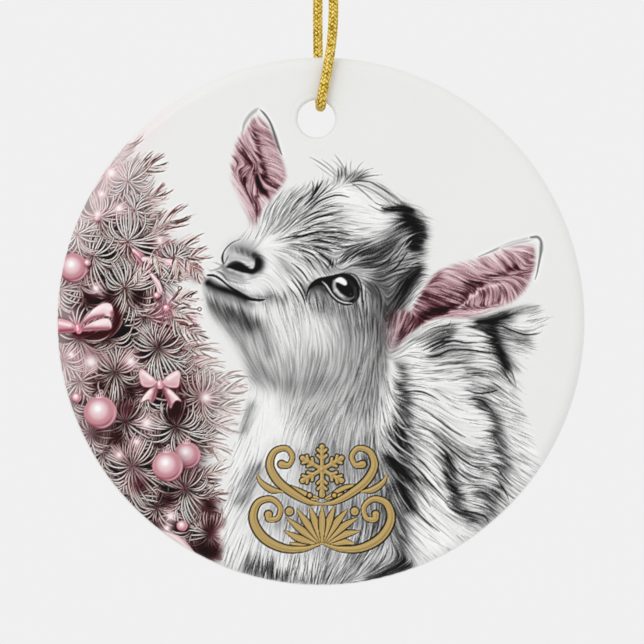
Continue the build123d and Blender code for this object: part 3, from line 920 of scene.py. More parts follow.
# Dark locks that are seen one by one: half width, tone, then places.
LOCKS = [
    (0.11, 0.08, [(-2.2, 16), (-1.3, 17), (-0.8, 17.8), (-0.2, 18.6), (0.4, 19.5)]),
    (0.12, 0.12, [(-1.4, 16.8), (-0.9, 17.7), (-0.5, 18.6), (-0.4, 19.7)]),
    (0.11, 0.20, [(-2.2, 15.4), (-1, 16.6), (0.3, 17.9), (1.3, 19)]),
    (0.10, 0.20, [(-1.2, 17.6), (-1.0, 18.6), (-1.2, 19.6)]),
    (0.12, 0.12, [(-1.4, 15.4), (-0.4, 16.4), (1, 17.1), (2.4, 17.45), (4, 17.15)]),
    (0.13, 0.14, [(-4, 11.4), (-2, 12), (0, 12.4), (2, 12.3), (4, 12)]),
    (0.13, 0.14, [(0.2, 11.8), (1.6, 11.7), (3, 11.4), (4.4, 11.2)]),
    (0.16, 0.06, [(-1.6, 11.15), (-0.4, 11.2), (0.8, 11), (2, 10.6)]),
    (0.16, 0.05, [(-1.2, 10.4), (-0.2, 10.15), (0.8, 9.95), (1.6, 9.7)]),
    (0.12, 0.10, [(-4.6, 11.6), (-3, 11.8), (-1.4, 11.8)]),
    (0.12, 0.10, [(-2.4, 13.3), (-0.8, 14.2), (0.6, 14.6), (1.8, 14.6)]),
    (0.12, 0.16, [(-2.2, 12.7), (-0.6, 13.4), (1, 13.6)]),
    (0.12, 0.18, [(-2.4, 14.2), (-0.8, 15), (1, 15.3)]),
    (0.10, 0.25, [(0, 15.5), (1.6, 15.9), (3.2, 15.9)]),
    (0.12, 0.12, [(-3, 9.9), (-1.4, 9.4), (-0.4, 8.5), (0.4, 7.4)]),
    (0.12, 0.10, [(-2.6, 9.2), (-1.6, 8.4), (-0.8, 7.2)]),
    (0.12, 0.16, [(-1, 10), (0.2, 9.2), (1.2, 8.4), (1.6, 7.5)]),
    (0.10, 0.20, [(1.45, 8.7), (1.3, 8), (1.0, 7.3)]),
    (0.10, 0.16, [(1.8, 8.6), (1.7, 8), (1.55, 7.4)]),
    (0.08, 0.40, [(2.2, 8.5), (2.15, 7.9), (2.0, 7.5)]),
    (0.12, 0.12, [(-4, 8.1), (-3, 7.3), (-2.2, 6.4), (-1.8, 5.6)]),
    (0.12, 0.10, [(-4, 5.7), (-3, 4.5), (-2.4, 3.4), (-2.1, 2.2)]),
    (0.12, 0.10, [(-3.6, 6.2), (-2.7, 5), (-2.15, 3.8), (-1.95, 2.6)]),
    (0.10, 0.16, [(-4.6, 5), (-3.6, 3.8), (-3, 2.6)]),
    (0.10, 0.22, [(-1.3, 4.4), (-1.5, 3.5), (-1.6, 2.4)]),
    (0.10, 0.22, [(-0.75, 4.2), (-0.6, 3.3), (-0.4, 2.4), (-0.3, 1.3)]),
    (0.09, 0.30, [(0.5, 3.5), (0.4, 2.4), (0.5, 1.3)]),
    (0.08, 0.36, [(1.2, 3), (1.1, 1.8)]),
    (0.11, 0.12, [(3.2, 8.1), (4, 9), (5.2, 9.8), (6.2, 10.2)]),
    (0.11, 0.20, [(2.6, 8.7), (3.4, 9.5), (4.4, 10.1), (5.6, 10.5)]),
    (0.12, 0.14, [(3.8, 8.1), (4.8, 9), (6, 9.7), (7.4, 10.1)]),
    (0.10, 0.16, [(6, 7.5), (7.6, 7.5), (9, 8.2), (10.2, 9.4)]),
    (0.12, 0.12, [(9, 6.7), (10.2, 7.3), (11, 8.2), (12, 9.6)]),
    (0.18, 0.05, [(8.4, 15.7), (9.4, 15.4), (10.4, 15.3), (11.6, 15.4), (12.8, 15.2)]),
    (0.12, 0.10, [(9.2, 15.75), (10.4, 15.8), (11.8, 15.75)]),
    (0.08, 0.40, [(6.6, 16.1), (8, 15.4), (9.4, 15.05), (10.8, 14.95)]),
    (0.09, 0.36, [(4, 19.2), (5.5, 19.4), (7, 19.2), (8.5, 18.4), (10.2, 17.3), (11.6, 16.1)]),
    (0.09, 0.30, [(7, 19.1), (8.2, 18.5), (9.6, 17.5), (10.8, 16.6)]),
    (0.09, 0.40, [(4.2, 19), (5.6, 18.8), (7.2, 18.1), (8.8, 17), (10, 16)]),
    (0.08, 0.30, [(4.2, 18.9), (5, 18.6), (6, 17.8), (7.2, 16.8)]),
    (0.08, 0.40, [(7.4, 16.4), (8.2, 16.1), (9.4, 15.9)]),
    (0.08, 0.55, [(12, 16.3), (13.2, 16), (14.4, 15.5)]),
    (0.08, 0.55, [(12.8, 15.6), (13.8, 15), (14.6, 14.4)]),
    (0.12, 0.40, [(2.4, 19.6), (2.45, 20.6), (2.3, 21.6), (1.9, 22.6)]),
    (0.12, 0.36, [(2.9, 19.8), (2.9, 20.8), (2.8, 21.6), (2.4, 22.4)]),
    (0.11, 0.40, [(3.4, 19.8), (3.4, 20.8), (3.5, 21.7)]),
    (0.11, 0.45, [(3.9, 19.8), (4.1, 20.8), (4.3, 21.6)]),
    (0.11, 0.45, [(4.4, 19.8), (4.8, 20.8), (5.1, 21.6)]),
    (0.10, 0.50, [(4.6, 19.6), (5.4, 20.6), (6, 21.1)]),
    (0.12, 0.40, [(4.4, 19.4), (5.4, 20), (6.6, 20.7)]),
    (0.13, 0.35, [(4.2, 19.25), (5.4, 19.7), (6.4, 20), (7.6, 20.1)]),
    (0.08, 0.55, [(-1.2, 22.7), (-0.3, 21.9), (0.5, 21.2)]),
    (0.09, 0.50, [(-0.4, 22.7), (0.4, 22), (1.1, 21.2)]),
    (0.08, 0.60, [(0.3, 22.4), (1.2, 21.5), (1.8, 20.6), (2.1, 19.9)]),
    (0.09, 0.30, [(14, -1.7), (15.6, -0.9), (17.6, -0.5), (18, 0.2)]),
    (0.12, 0.20, [(14.2, -4), (16, -3.1), (17.4, -2.2), (18.4, -2.2)]),
    (0.12, 0.12, [(15, -4.2), (16.6, -3.3), (18.2, -2.7), (20, -2.95), (22, -2.9)]),
    (0.13, 0.10, [(15, -4.95), (16.4, -4.6), (17.8, -3.95), (20, -3.9), (22.4, -4.2), (24, -4.5)]),
    (0.13, 0.08, [(23.6, -0.5), (25, -0.7), (26.6, -1.3), (28.2, -1.8), (29.8, -1.7), (30.8, -1.2)]),
    (0.11, 0.16, [(24.4, -4.5), (25.2, -5.6), (26, -7.2)]),
    (0.11, 0.16, [(24.8, -6.3), (25.6, -7.3), (26.3, -8.6)]),
    (0.10, 0.30, [(25.4, -5.6), (26.4, -7), (27, -9)]),
    (0.12, 0.16, [(10.9, -9.7), (13.4, -9.6), (15, -10.1), (16.4, -10.9)]),
    (0.13, 0.14, [(20.2, -9.5), (21.6, -9.9), (23.2, -9.8), (24.6, -9.4)]),
    (0.12, 0.20, [(20.2, -7.2), (21.6, -7.1), (23.2, -7.2)]),
    (0.12, 0.14, [(20.4, -10.8), (21.8, -10.8), (23, -11.6), (24, -12.8)]),
    (0.12, 0.30, [(14, -12), (16, -13.4), (18, -14.9), (20, -16)]),
    (0.12, 0.30, [(13, -14), (15.4, -15.2), (17.6, -16.8), (19.6, -18)]),
    (0.14, 0.10, [(15.6, -16.6), (17.4, -18.2), (18.6, -20.4), (20.6, -22)]),
    (0.14, 0.14, [(16.8, -16.6), (18.6, -18.2), (20.4, -19.6), (22.6, -20.6)]),
    (0.12, 0.20, [(19, -20.2), (20.6, -21.4), (22.6, -21.8)]),
    (0.14, 0.06, [(9.4, -16.2), (11, -18.4), (13, -20), (15.4, -22.6), (17.6, -24.9)]),
    (0.12, 0.16, [(12.4, -18.2), (14, -19.4), (15.8, -21.4)]),
    (0.12, 0.12, [(13.4, -23.2), (14.4, -24.4), (15.2, -25.6)]),
    (0.12, 0.16, [(11, -23), (12.6, -25.6), (14.6, -27.6), (16.4, -29)]),
    (0.14, 0.10, [(17.6, -24.7), (19.4, -26), (21.4, -26.5), (22.6, -26.9), (23.2, -27.7)]),
    (0.12, 0.12, [(24.2, -20), (25.2, -21.4), (26.4, -22.8)]),
    (0.12, 0.16, [(24.2, -21.6), (25.2, -23), (26, -24.6)]),
]

# Pale locks that cross the darkest patches.
PALE = [
    (0.10, 0.80, [(8.8, -14.8), (10, -16.6), (12, -18.2), (13.6, -19)]),
    (0.09, 0.75, [(8.6, -15.8), (10.2, -17.8), (12.2, -19.2)]),
    (0.08, 0.85, [(9.4, -14), (11, -16), (13, -17)]),
    (0.08, 0.65, [(9.2, -18), (11, -19.4), (13, -20.6), (14.6, -22)]),
    (0.08, 0.60, [(9.4, -20.4), (11, -22), (12.8, -23.6)]),
    (0.08, 0.70, [(10, -22), (11.2, -24.4), (12.8, -26.6)]),
    (0.07, 0.65, [(9.6, -23), (10.6, -25.6), (12.2, -28.4)]),
    (0.08, 0.85, [(10, -13.4), (11.2, -14.6), (12.6, -15)]),
    (0.09, 0.72, [(9.6, 8.2), (10.8, 9.6), (12, 11.4)]),
    (0.09, 0.66, [(10.4, 8.2), (11.4, 9.8), (12.6, 11.2)]),
    (0.08, 0.60, [(9.4, 8.8), (10.4, 10.2), (11.4, 11.8)]),
    (0.08, 0.60, [(7.6, 8), (9.2, 8.7), (10.4, 9.8)]),
    (0.08, 0.75, [(11.8, 7.4), (13, 8.2), (14.4, 8.6)]),
    (0.07, 0.66, [(17.4, -18), (18.6, -20), (20.4, -21.4)]),
    (0.07, 0.72, [(17, -19.6), (18.2, -21.6), (20, -22.8)]),
    (0.07, 0.72, [(24, -16), (25, -17.4), (26.6, -18.6)]),
]

# Single hairs that stand out of the tuft on the poll.
WISPS = [
    (0.08, 0.46, [(2.2, 20.0), (0.9, 21.2), (-0.4, 22.1), (-1.5, 22.7)]),
    (0.07, 0.52, [(2.7, 20.2), (1.3, 21.5), (0.1, 22.4)]),
    (0.07, 0.60, [(2.0, 19.7), (0.6, 20.7), (-0.9, 21.8)]),
    (0.08, 0.48, [(3.6, 20.2), (3.1, 21.4), (2.5, 22.3), (1.9, 23.1)]),
    (0.07, 0.58, [(3.2, 20.4), (2.6, 21.4), (1.5, 22.4)]),
    (0.07, 0.60, [(4.2, 20.3), (4.1, 21.4), (4.3, 22.4)]),
    (0.07, 0.56, [(4.8, 20.2), (5.2, 21.3), (5.9, 22.1)]),
    (0.07, 0.52, [(5.2, 20.0), (6.2, 20.8), (7.4, 21.2)]),
    (0.08, 0.42, [(5.4, 19.6), (6.8, 20.1), (8.6, 20.2)]),
]


COAT_WHITE = 0.915
COAT_BRIGHTEST = 0.96
CRISP_ELSEWHERE = 0.6
# The same hairs in two lengths: how many, length, half width.
COAT_HAIRS = ((2600, 3.8, 0.085), (3200, 2.8, 0.065))


def kid():
    """The kid's coat, as its tone and how far it covers what lies behind it."""
    flow = combed(COMB, spread=0.2)
    body = inside(KID, 0.35)
    strands = streaks(flow, length=4.6, grain=0.064, seed=11, wobble=0.05)
    locks = streaks(flow, length=6.0, grain=0.22, seed=12, wobble=0.10)
    tone = np.full((SIZE, SIZE), COAT_WHITE, np.float32)
    for width, value, strength, places in SHADE:
        airbrush(tone, places, width, value, strength)
    crisp = np.full((SIZE, SIZE), CRISP_ELSEWHERE, np.float32)
    for width, value, places in CRISP:
        airbrush(crisp, places, width, value)
    tone = furred(tone, flow, (0.6 * locks + 0.5 * strands) * (0.1 + 0.9 * crisp), 0.5)
    dark = smooth(1 - tone, 0.04, 0.30)
    middle = dark * (1 - 0.75 * smooth(1 - tone, 0.62, 0.95))
    grain = 0.8 * np.tanh(1.1 * strands) + 0.3 * np.tanh(locks)
    tone += (0.035 + 0.145 * middle) * (0.35 + 0.65 * crisp) * grain
    rng = np.random.default_rng(21)
    for half, value, places in LOCKS:
        lock(tone, places, half, value, 0.8)
    for count, length, half in COAT_HAIRS:
        cover = hairs(flow, rng, crisp * (0.45 + dark), count, length, half)
        tone *= 1 - 0.60 * crisp * cover
        cover = hairs(flow, rng, crisp * (0.20 + middle), count, length, 0.85 * half)
        tone += crisp * cover * np.clip(0.55 * (0.93 - tone), 0, 0.21)
    for half, value, places in PALE:
        lock(tone, places, half, value, 0.8)
    tufted = furred(body, flow, 0.6 * strands + 0.5 * locks, 0.6)
    soft = np.zeros((SIZE, SIZE), np.float32)
    airbrush(soft, SOFT_EDGE, 2.2, 1.0)
    airbrush(soft, SOFT_POLL, 1.6, 0.6)
    edge = tufted + (inside(KID, 0.5) - tufted) * np.clip(1.4 * soft, 0, 1)
    return np.clip(tone, 0.0, COAT_BRIGHTEST), edge


def wisps(canvas):
    """Hairs that stand out over the white behind the poll."""
    for half, value, places in WISPS:
        lock(canvas, places, half, value, 0.75)


def lock(tone, places, half, value, strength):
    """One curved lock, fine at both ends."""
    last = len(places) - 1
    shaped = [(x, z, (0.35, 1.0)[0 < k < last]) for k, (x, z) in enumerate(places)]
    pen(tone, shaped, half, value, strength, 0.06)


def eye(canvas):
    """The eye: lids, tear line, iris with its pale crescent, slanted pupil and one light."""
    airbrush(canvas, [(1.2, 6.9), (2.6, 7.1), (4.2, 7.0), (5.4, 6.2)], 0.5, 0.62, 0.5)
    airbrush(canvas, [(-1.2, 4.5), (-0.2, 4.8), (0.6, 4.3)], 0.8, 0.24, 0.85)
    airbrush(canvas, [(-1.6, 3.7), (-0.9, 3.8), (0, 3.6), (0.9, 3.2)], 0.75, 0.46, 0.6)
    fill(canvas, [(-1.7, 4.5), (-1.45, 4.9), (-0.95, 5.4), (-0.2, 5.85), (0.6, 6.05), (1.6, 6.25),
                  (2.6, 6.55), (3.5, 6.6), (4.4, 6.25), (5.0, 5.5), (5.35, 4.6), (5.4, 3.7), (5.0, 2.9),
                  (4.3, 2.5), (3.4, 2.5), (2.6, 2.85), (1.9, 3.4), (1.3, 4.2), (0.7, 4.8), (0.1, 5.0),
                  (-0.6, 5.0), (-1.2, 4.7)], 0.045, 0.14)
    # ball: dark on the right, pale round the left and below
    fill(canvas, [(1.75, 5.6), (1.62, 5.0), (1.7, 4.4), (2.05, 3.8), (2.6, 3.3), (3.3, 3.02), (4.1, 3.05),
                  (4.7, 3.4), (4.95, 4.1), (4.85, 4.9), (4.4, 5.6), (3.7, 6.05), (2.9, 6.2), (2.2, 6.05)],
         0.20, 0.10)
    airbrush(canvas, [(1.95, 5.5), (1.9, 4.9), (2.05, 4.3)], 0.34, 0.72, 0.9)
    airbrush(canvas, [(2.2, 4.3), (2.6, 3.75), (3.2, 3.35)], 0.32, 0.80, 0.95)
    airbrush(canvas, [(3.3, 3.3), (4.0, 3.15), (4.5, 3.4)], 0.28, 0.50, 0.8)
    airbrush(canvas, [(4.7, 3.8), (4.85, 4.6)], 0.25, 0.32, 0.6)
    fill(canvas, [(2.2, 5.42), (2.16, 4.95), (2.4, 4.45), (2.95, 3.9), (3.55, 3.5), (4.2, 3.36),
                  (4.55, 3.55), (4.5, 4.1), (4.25, 4.7), (3.8, 5.2), (3.2, 5.35), (2.6, 5.5)], 0.02, 0.08)
    airbrush(canvas, [(4.15, 3.78)], 0.16, 0.34, 0.8)
    fill(canvas, [(2.0, 5.72), (2.3, 6.0), (2.8, 6.1), (3.25, 5.9), (3.58, 5.5), (3.62, 5.08), (3.3, 4.98),
                  (2.85, 5.18), (2.45, 5.4), (2.1, 5.45)], 0.97, 0.08)
    # lids
    pen(canvas, [(-2.0, 2.9, 0.2), (-1.9, 3.7, 0.5), (-1.6, 4.5, 0.9), (-1.05, 5.25, 1.2), (-0.2, 5.8, 1.3),
                 (0.8, 6.05), (2.0, 6.3), (3.0, 6.5), (3.9, 6.4), (4.7, 5.85), (5.15, 5.1), (5.35, 4.3),
                 (5.3, 3.5, 0.6)], 0.15, 0.05, 0.95, 0.1)
    pen(canvas, [(4.2, 6.5, 0.4), (4.8, 6.1), (5.2, 5.5), (5.45, 4.8, 0.4)], 0.07, 0.55, 0.8, 0.08)
    pen(canvas, [(3.6, 6.75, 0.3), (4.6, 6.5), (5.2, 5.9), (5.6, 4.9, 1.3), (5.72, 3.9, 1.3),
                 (5.68, 2.6, 0.3)], 0.09, 0.06, 0.9, 0.09)
    pen(canvas, [(5.4, 4.5, 0.4), (5.45, 3.7), (5.35, 2.8, 0.3)], 0.07, 0.70, 0.8, 0.08)
    pen(canvas, [(5.85, 4.6, 0.4), (5.95, 3.8), (5.9, 2.9, 0.3)], 0.07, 0.78, 0.8, 0.08)
    pen(canvas, [(6.1, 4.9, 0.4), (6.22, 3.9), (6.2, 2.8, 0.3)], 0.07, 0.22, 0.8, 0.08)
    pen(canvas, [(5.0, 4.1, 0.4), (4.95, 3.4), (4.6, 2.7, 0.4)], 0.09, 0.40, 0.7, 0.09)
    pen(canvas, [(0.3, 5.3, 0.5), (0.85, 4.55), (1.3, 3.8), (1.9, 3.1), (2.6, 2.62), (3.4, 2.36),
                 (4.4, 2.32, 0.4)], 0.13, 0.05, 0.95, 0.1)
    pen(canvas, [(0.15, 5.6, 0.3), (0.7, 5.08, 0.9), (1.12, 4.5), (1.52, 3.9), (2.05, 3.32), (2.75, 2.84),
                 (3.5, 2.6), (4.3, 2.55, 0.3)], 0.10, 0.82, 0.95, 0.07)
    pen(canvas, [(1.3, 4.4, 0.4), (1.72, 3.88), (2.2, 3.36), (2.85, 2.96), (3.6, 2.78), (4.4, 2.82, 0.4)],
        0.09, 0.04, 0.95, 0.07)
    pen(canvas, [(2.7, 3.12, 0.3), (3.4, 2.96), (4.2, 3.0, 0.3)], 0.06, 0.55, 0.8, 0.07)


def muzzle(canvas):
    """Nose, nostril, lips and the shading round them."""
    # bare skin of the nose
    airbrush(canvas, [(-12.7, 8.9), (-12.2, 10), (-11, 10.6), (-9.6, 10.4)], 0.9, 0.74, 0.9)
    airbrush(canvas, [(-12.1, 10.2), (-11.1, 9.95), (-10.2, 9.6)], 0.6, 0.58, 0.8)
    airbrush(canvas, [(-10.9, 9.75), (-9.9, 9.45), (-9.1, 9), (-8.6, 8.4)], 0.66, 0.42, 0.8)
    for k in range(9):
        x, z = -12 + 0.4 * k, 10.6 - 0.16 * k
        pen(canvas, [(x - 0.1, z, 0.3), (x, z - 0.6), (x + 0.2, z - 1.2, 0.3)], 0.06, (0.82, 0.34)[k % 2],
            0.4, 0.1)
    airbrush(canvas, [(-12.6, 8.6), (-11.6, 8.75), (-10.6, 8.6), (-9.9, 8.3)], 0.32, 0.72, 0.9)
    airbrush(canvas, [(-13.0, 8.2), (-13.2, 7.6), (-13.0, 7.0)], 0.4, 0.80, 0.8)
    airbrush(canvas, [(-13.4, 7.5), (-12.8, 6.8), (-11.8, 6.6), (-11, 6.4)], 0.46, 0.50, 0.85)
    airbrush(canvas, [(-13, 6.2), (-12, 5.9), (-10.8, 5.7)], 0.6, 0.62, 0.6)
    airbrush(canvas, [(-14.2, 6.7), (-13.4, 6.3), (-12.8, 5.7)], 0.3, 0.56, 0.7)
    pen(canvas, [(-11.0, 11.35, 0.3), (-11.9, 11.05, 0.5), (-12.5, 10.65, 0.7), (-13.05, 10.1, 0.8),
                 (-13.4, 9.5, 1.0), (-13.55, 8.9, 1.6), (-13.52, 8.4, 1.6), (-13.38, 7.95, 1.0)], 0.085,
        0.10, 0.9, 0.09)
    pen(canvas, [(-13.4, 7.95, 0.8), (-13.75, 7.5), (-14.5, 7.15), (-15.2, 7.05, 0.4)], 0.12, 0.55, 0.7,
        0.14)
    pen(canvas, [(-12.7, 9.1, 0.5), (-12.95, 8.6), (-13.2, 8.05, 0.6)], 0.09, 0.42, 0.8, 0.1)
    # nostril
    airbrush(canvas, [(-9.1, 9.1), (-8.6, 8.7), (-8.2, 8.1), (-8.4, 7.3), (-9.4, 6.7)], 0.55, 0.22, 0.85)
    fill(canvas, [(-13.0, 7.6), (-12.6, 8.05), (-12, 8.35), (-11.3, 8.35), (-10.7, 8.05), (-10.1, 7.6),
                  (-9.6, 7.3), (-9.2, 7.3), (-9.3, 6.9), (-10.4, 6.8), (-11.6, 7.1), (-12.4, 7.4)], 0.27,
         0.12)
    fill(canvas, [(-13.1, 7.5), (-12.4, 7.68), (-11.8, 7.95), (-11.2, 7.97), (-10.6, 7.72), (-10.1, 7.4),
                  (-9.7, 7.18), (-9.3, 7.22), (-9.08, 7.6), (-9.0, 8.2), (-8.85, 8.75), (-8.45, 8.65),
                  (-8.25, 8.1), (-8.38, 7.45), (-8.8, 6.98), (-9.4, 6.72), (-10.2, 6.68), (-11, 6.84),
                  (-11.8, 7.1), (-12.5, 7.36)], 0.02, 0.10)
    airbrush(canvas, [(-9.75, 7.95), (-9.45, 7.6)], 0.24, 0.84, 0.85)
    airbrush(canvas, [(-11.6, 6.75), (-10.6, 6.4), (-9.4, 6.3), (-8.6, 6.5)], 0.22, 0.80, 0.6)
    # lips
    airbrush(canvas, [(-15.2, 5.9), (-14.2, 5.2), (-13, 4.5)], 0.35, 0.62, 0.7)
    airbrush(canvas, [(-15.5, 5.3), (-14.8, 4.85), (-14, 4.5), (-13.1, 4.25), (-12.2, 4.0), (-11.2, 3.55),
                      (-10.4, 3.15)], 0.58, 0.06, 0.97)
    airbrush(canvas, [(-15.2, 4.5), (-14, 3.9), (-12.6, 3.3), (-11, 2.8), (-9.6, 2.4)], 0.65, 0.42, 0.6)
    pen(canvas, [(-14.4, 6.98, 0.3), (-13.7, 6.7), (-13.25, 6.2), (-12.9, 5.7, 0.4)], 0.09, 0.36, 0.75,
        0.12)
    pen(canvas, [(-15.6, 6.72, 0.4), (-14.9, 6.82), (-14.2, 6.55), (-13.6, 6.05), (-13.1, 5.55, 0.3)], 0.13,
        0.86, 0.9, 0.12)
    for k in range(7):
        x = -12.9 + 0.55 * k
        pen(canvas, [(x + 0.1, 5.9 - 0.25 * k, 0.3), (x + 0.5, 5.1 - 0.2 * k),
                     (x + 1.2, 4.35 - 0.17 * k, 0.3)], 0.07, (0.5, 0.66)[k % 2], 0.45, 0.1)
    airbrush(canvas, [(-12.6, 5.2), (-11.6, 4.6), (-10.6, 4.2)], 0.25, 0.60, 0.5)
    pen(canvas, [(-15.6, 6.38, 0.7), (-15, 6.38, 0.95), (-14.4, 6.2), (-13.7, 5.75, 0.95),
                 (-13, 5.15, 0.85), (-12.2, 4.55), (-11.4, 4.05, 1.25), (-10.6, 3.5, 1.45),
                 (-9.8, 3.15, 1.35), (-9, 3.0, 1.2), (-8.3, 2.95, 1.0), (-7.7, 3.05, 0.5)], 0.165, 0.01,
        1.0, 0.09)
    airbrush(canvas, [(-9.6, 3.5), (-8.4, 3.35), (-7.2, 3.3), (-6.7, 3.5)], 0.26, 0.48, 0.6)


LEFT_EAR = [
    (-8.8, 28.3), (-9.6, 27.6), (-10.6, 26.2), (-11.4, 25), (-11.9, 23.6), (-12.2, 22), (-12.3, 20.4),
    (-12, 18.8), (-11.4, 17.4), (-10.7, 16), (-10, 14.6), (-9.5, 13.2), (-9.2, 12.6), (-8.8, 13),
    (-8.3, 14), (-8, 15), (-7.6, 15.9), (-7.1, 16.4), (-6.5, 17.2), (-5.9, 18), (-5.2, 18.9), (-4.8, 20),
    (-4.9, 21), (-5.3, 22.2), (-5.8, 23.6), (-6.3, 25), (-6.8, 26.2), (-7.5, 27.4),
]
LEFT_EAR_COMB = [
    [(-9, 28), (-8.6, 27.2), (-7.8, 26.6)], [(-9.4, 26.6), (-8, 26), (-6.6, 25)],
    [(-9, 25), (-7.6, 25), (-6, 23.9)], [(-8.6, 24.4), (-7, 24), (-5.9, 23.2)],
    [(-8.5, 23.6), (-7, 23), (-5.8, 22.4)], [(-8, 22), (-6.6, 21.8), (-5.2, 21)],
    [(-7.8, 20.6), (-6.4, 20.4), (-5.1, 19.4)], [(-7.8, 19.6), (-6.8, 19), (-5.6, 18.4)],
    [(-8.4, 17), (-7.8, 16.4), (-7.3, 15.8)], [(-11.6, 25.6), (-10.8, 24.4), (-9.8, 23), (-8.9, 21.6)],
    [(-12, 23.4), (-11, 22.6), (-10, 21.8)], [(-12.2, 21), (-11.2, 19.8), (-10.4, 18.4), (-9.6, 17)],
    [(-12, 19.2), (-11, 18), (-10, 16.8), (-9.2, 15.4)], [(-11.2, 17), (-10.2, 15.8), (-9.4, 14.4)],
    [(-9.8, 21.6), (-10.6, 21.2), (-11.2, 20.9)], [(-9.4, 21), (-10, 20.4), (-10.7, 19.8)],
    [(-9.2, 20.8), (-9.5, 19.8), (-10, 19)], [(-9, 20.6), (-9.2, 19.2), (-9.4, 17.6)],
    [(-9.9, 27.4), (-9.9, 25.4), (-9.4, 23.6), (-8.6, 21.4)], [(-8.8, 16), (-8.9, 14.6), (-9, 12.8)],
]
LEFT_EAR_SHADE = [
    (2.4, 0.66, 1.0, [(-8.6, 27.4), (-9, 24), (-8.6, 20), (-9.2, 16)]),
    (1.2, 0.74, 0.9, [(-11.5, 24), (-11.8, 21.6), (-11.5, 19), (-10.6, 16.8)]),
    (1.3, 0.70, 0.9, [(-6.2, 24.6), (-5.7, 22), (-5.5, 20), (-6, 18.8)]),
    (1.0, 0.74, 0.8, [(-8.8, 28), (-8.2, 27.4), (-7.2, 26.4)]),
    (0.6, 0.84, 0.8, [(-10.6, 25.8), (-10.3, 27)]),
    (0.55, 0.22, 0.95, [(-9.2, 25.6), (-8.9, 24.6), (-8.6, 23.5), (-8.3, 22.5), (-8, 21.6), (-7.9, 20.8),
                        (-7.7, 20.1)]),
    (0.6, 0.26, 0.9, [(-10.8, 23), (-10.2, 22.4), (-9.6, 21.9), (-9, 21.3), (-8.8, 20.5), (-8.7, 19.8)]),
    (0.5, 0.50, 0.8, [(-11.5, 22.6), (-11.2, 21.6), (-11.4, 20.8)]),
    (0.6, 0.02, 1.0, [(-8.7, 19.3), (-8.4, 18.7), (-8, 18.2), (-7.5, 18)]),
    (0.45, 0.12, 0.95, [(-8.8, 18), (-8.8, 17), (-8.9, 16.2), (-8.7, 15.4), (-8.6, 14.8)]),
    (0.4, 0.30, 0.85, [(-7.8, 19.8), (-7.4, 19.3), (-6.8, 19), (-6, 18.6)]),
    (0.5, 0.28, 0.85, [(-11.1, 20.6), (-10.8, 19.6), (-10.3, 18.6), (-9.8, 17.6), (-9.4, 16.6)]),
    (0.36, 0.74, 0.95, [(-9.9, 26.6), (-9.8, 25), (-9.4, 23.6), (-8.9, 22.4), (-8.5, 21.2), (-8.35, 20.8)]),
    (0.26, 0.80, 0.95, [(-8.7, 20.5), (-8.2, 19.6), (-7.6, 18.8), (-7, 18.2), (-6.3, 17.8)]),
    (0.32, 0.76, 0.9, [(-9.5, 20), (-9.3, 18.8), (-9.2, 17.6)]),
    (0.35, 0.82, 0.8, [(-9.9, 21.2), (-10.4, 20.6), (-10.6, 20)]),
    (0.45, 0.86, 0.8, [(-8.3, 16.9), (-7.8, 16.3), (-7.4, 15.9)]),
    (0.7, 0.55, 0.7, [(-9, 14), (-9.1, 13)])]
LEFT_EAR_LINE = [
    (0.24, (0.62, 0.63, 0.62), 0.7, [(-10.8, 26, 0.4), (-10.5, 27.3, 0.8), (-9.8, 28.4), (-9, 29.1),
                                     (-8.5, 29.4, 0.6)]),
    (0.14, (0.26, 0.27, 0.27), 0.9, [(-8.3, 29.2, 0.4), (-7.8, 28.7, 0.8), (-7.2, 27.9, 0.8),
                                     (-6.8, 27.1, 0.9), (-6.55, 26.4), (-6.3, 25.6, 1.2),
                                     (-6.05, 24.8, 1.2), (-5.75, 23.9), (-5.35, 23, 0.4)])]

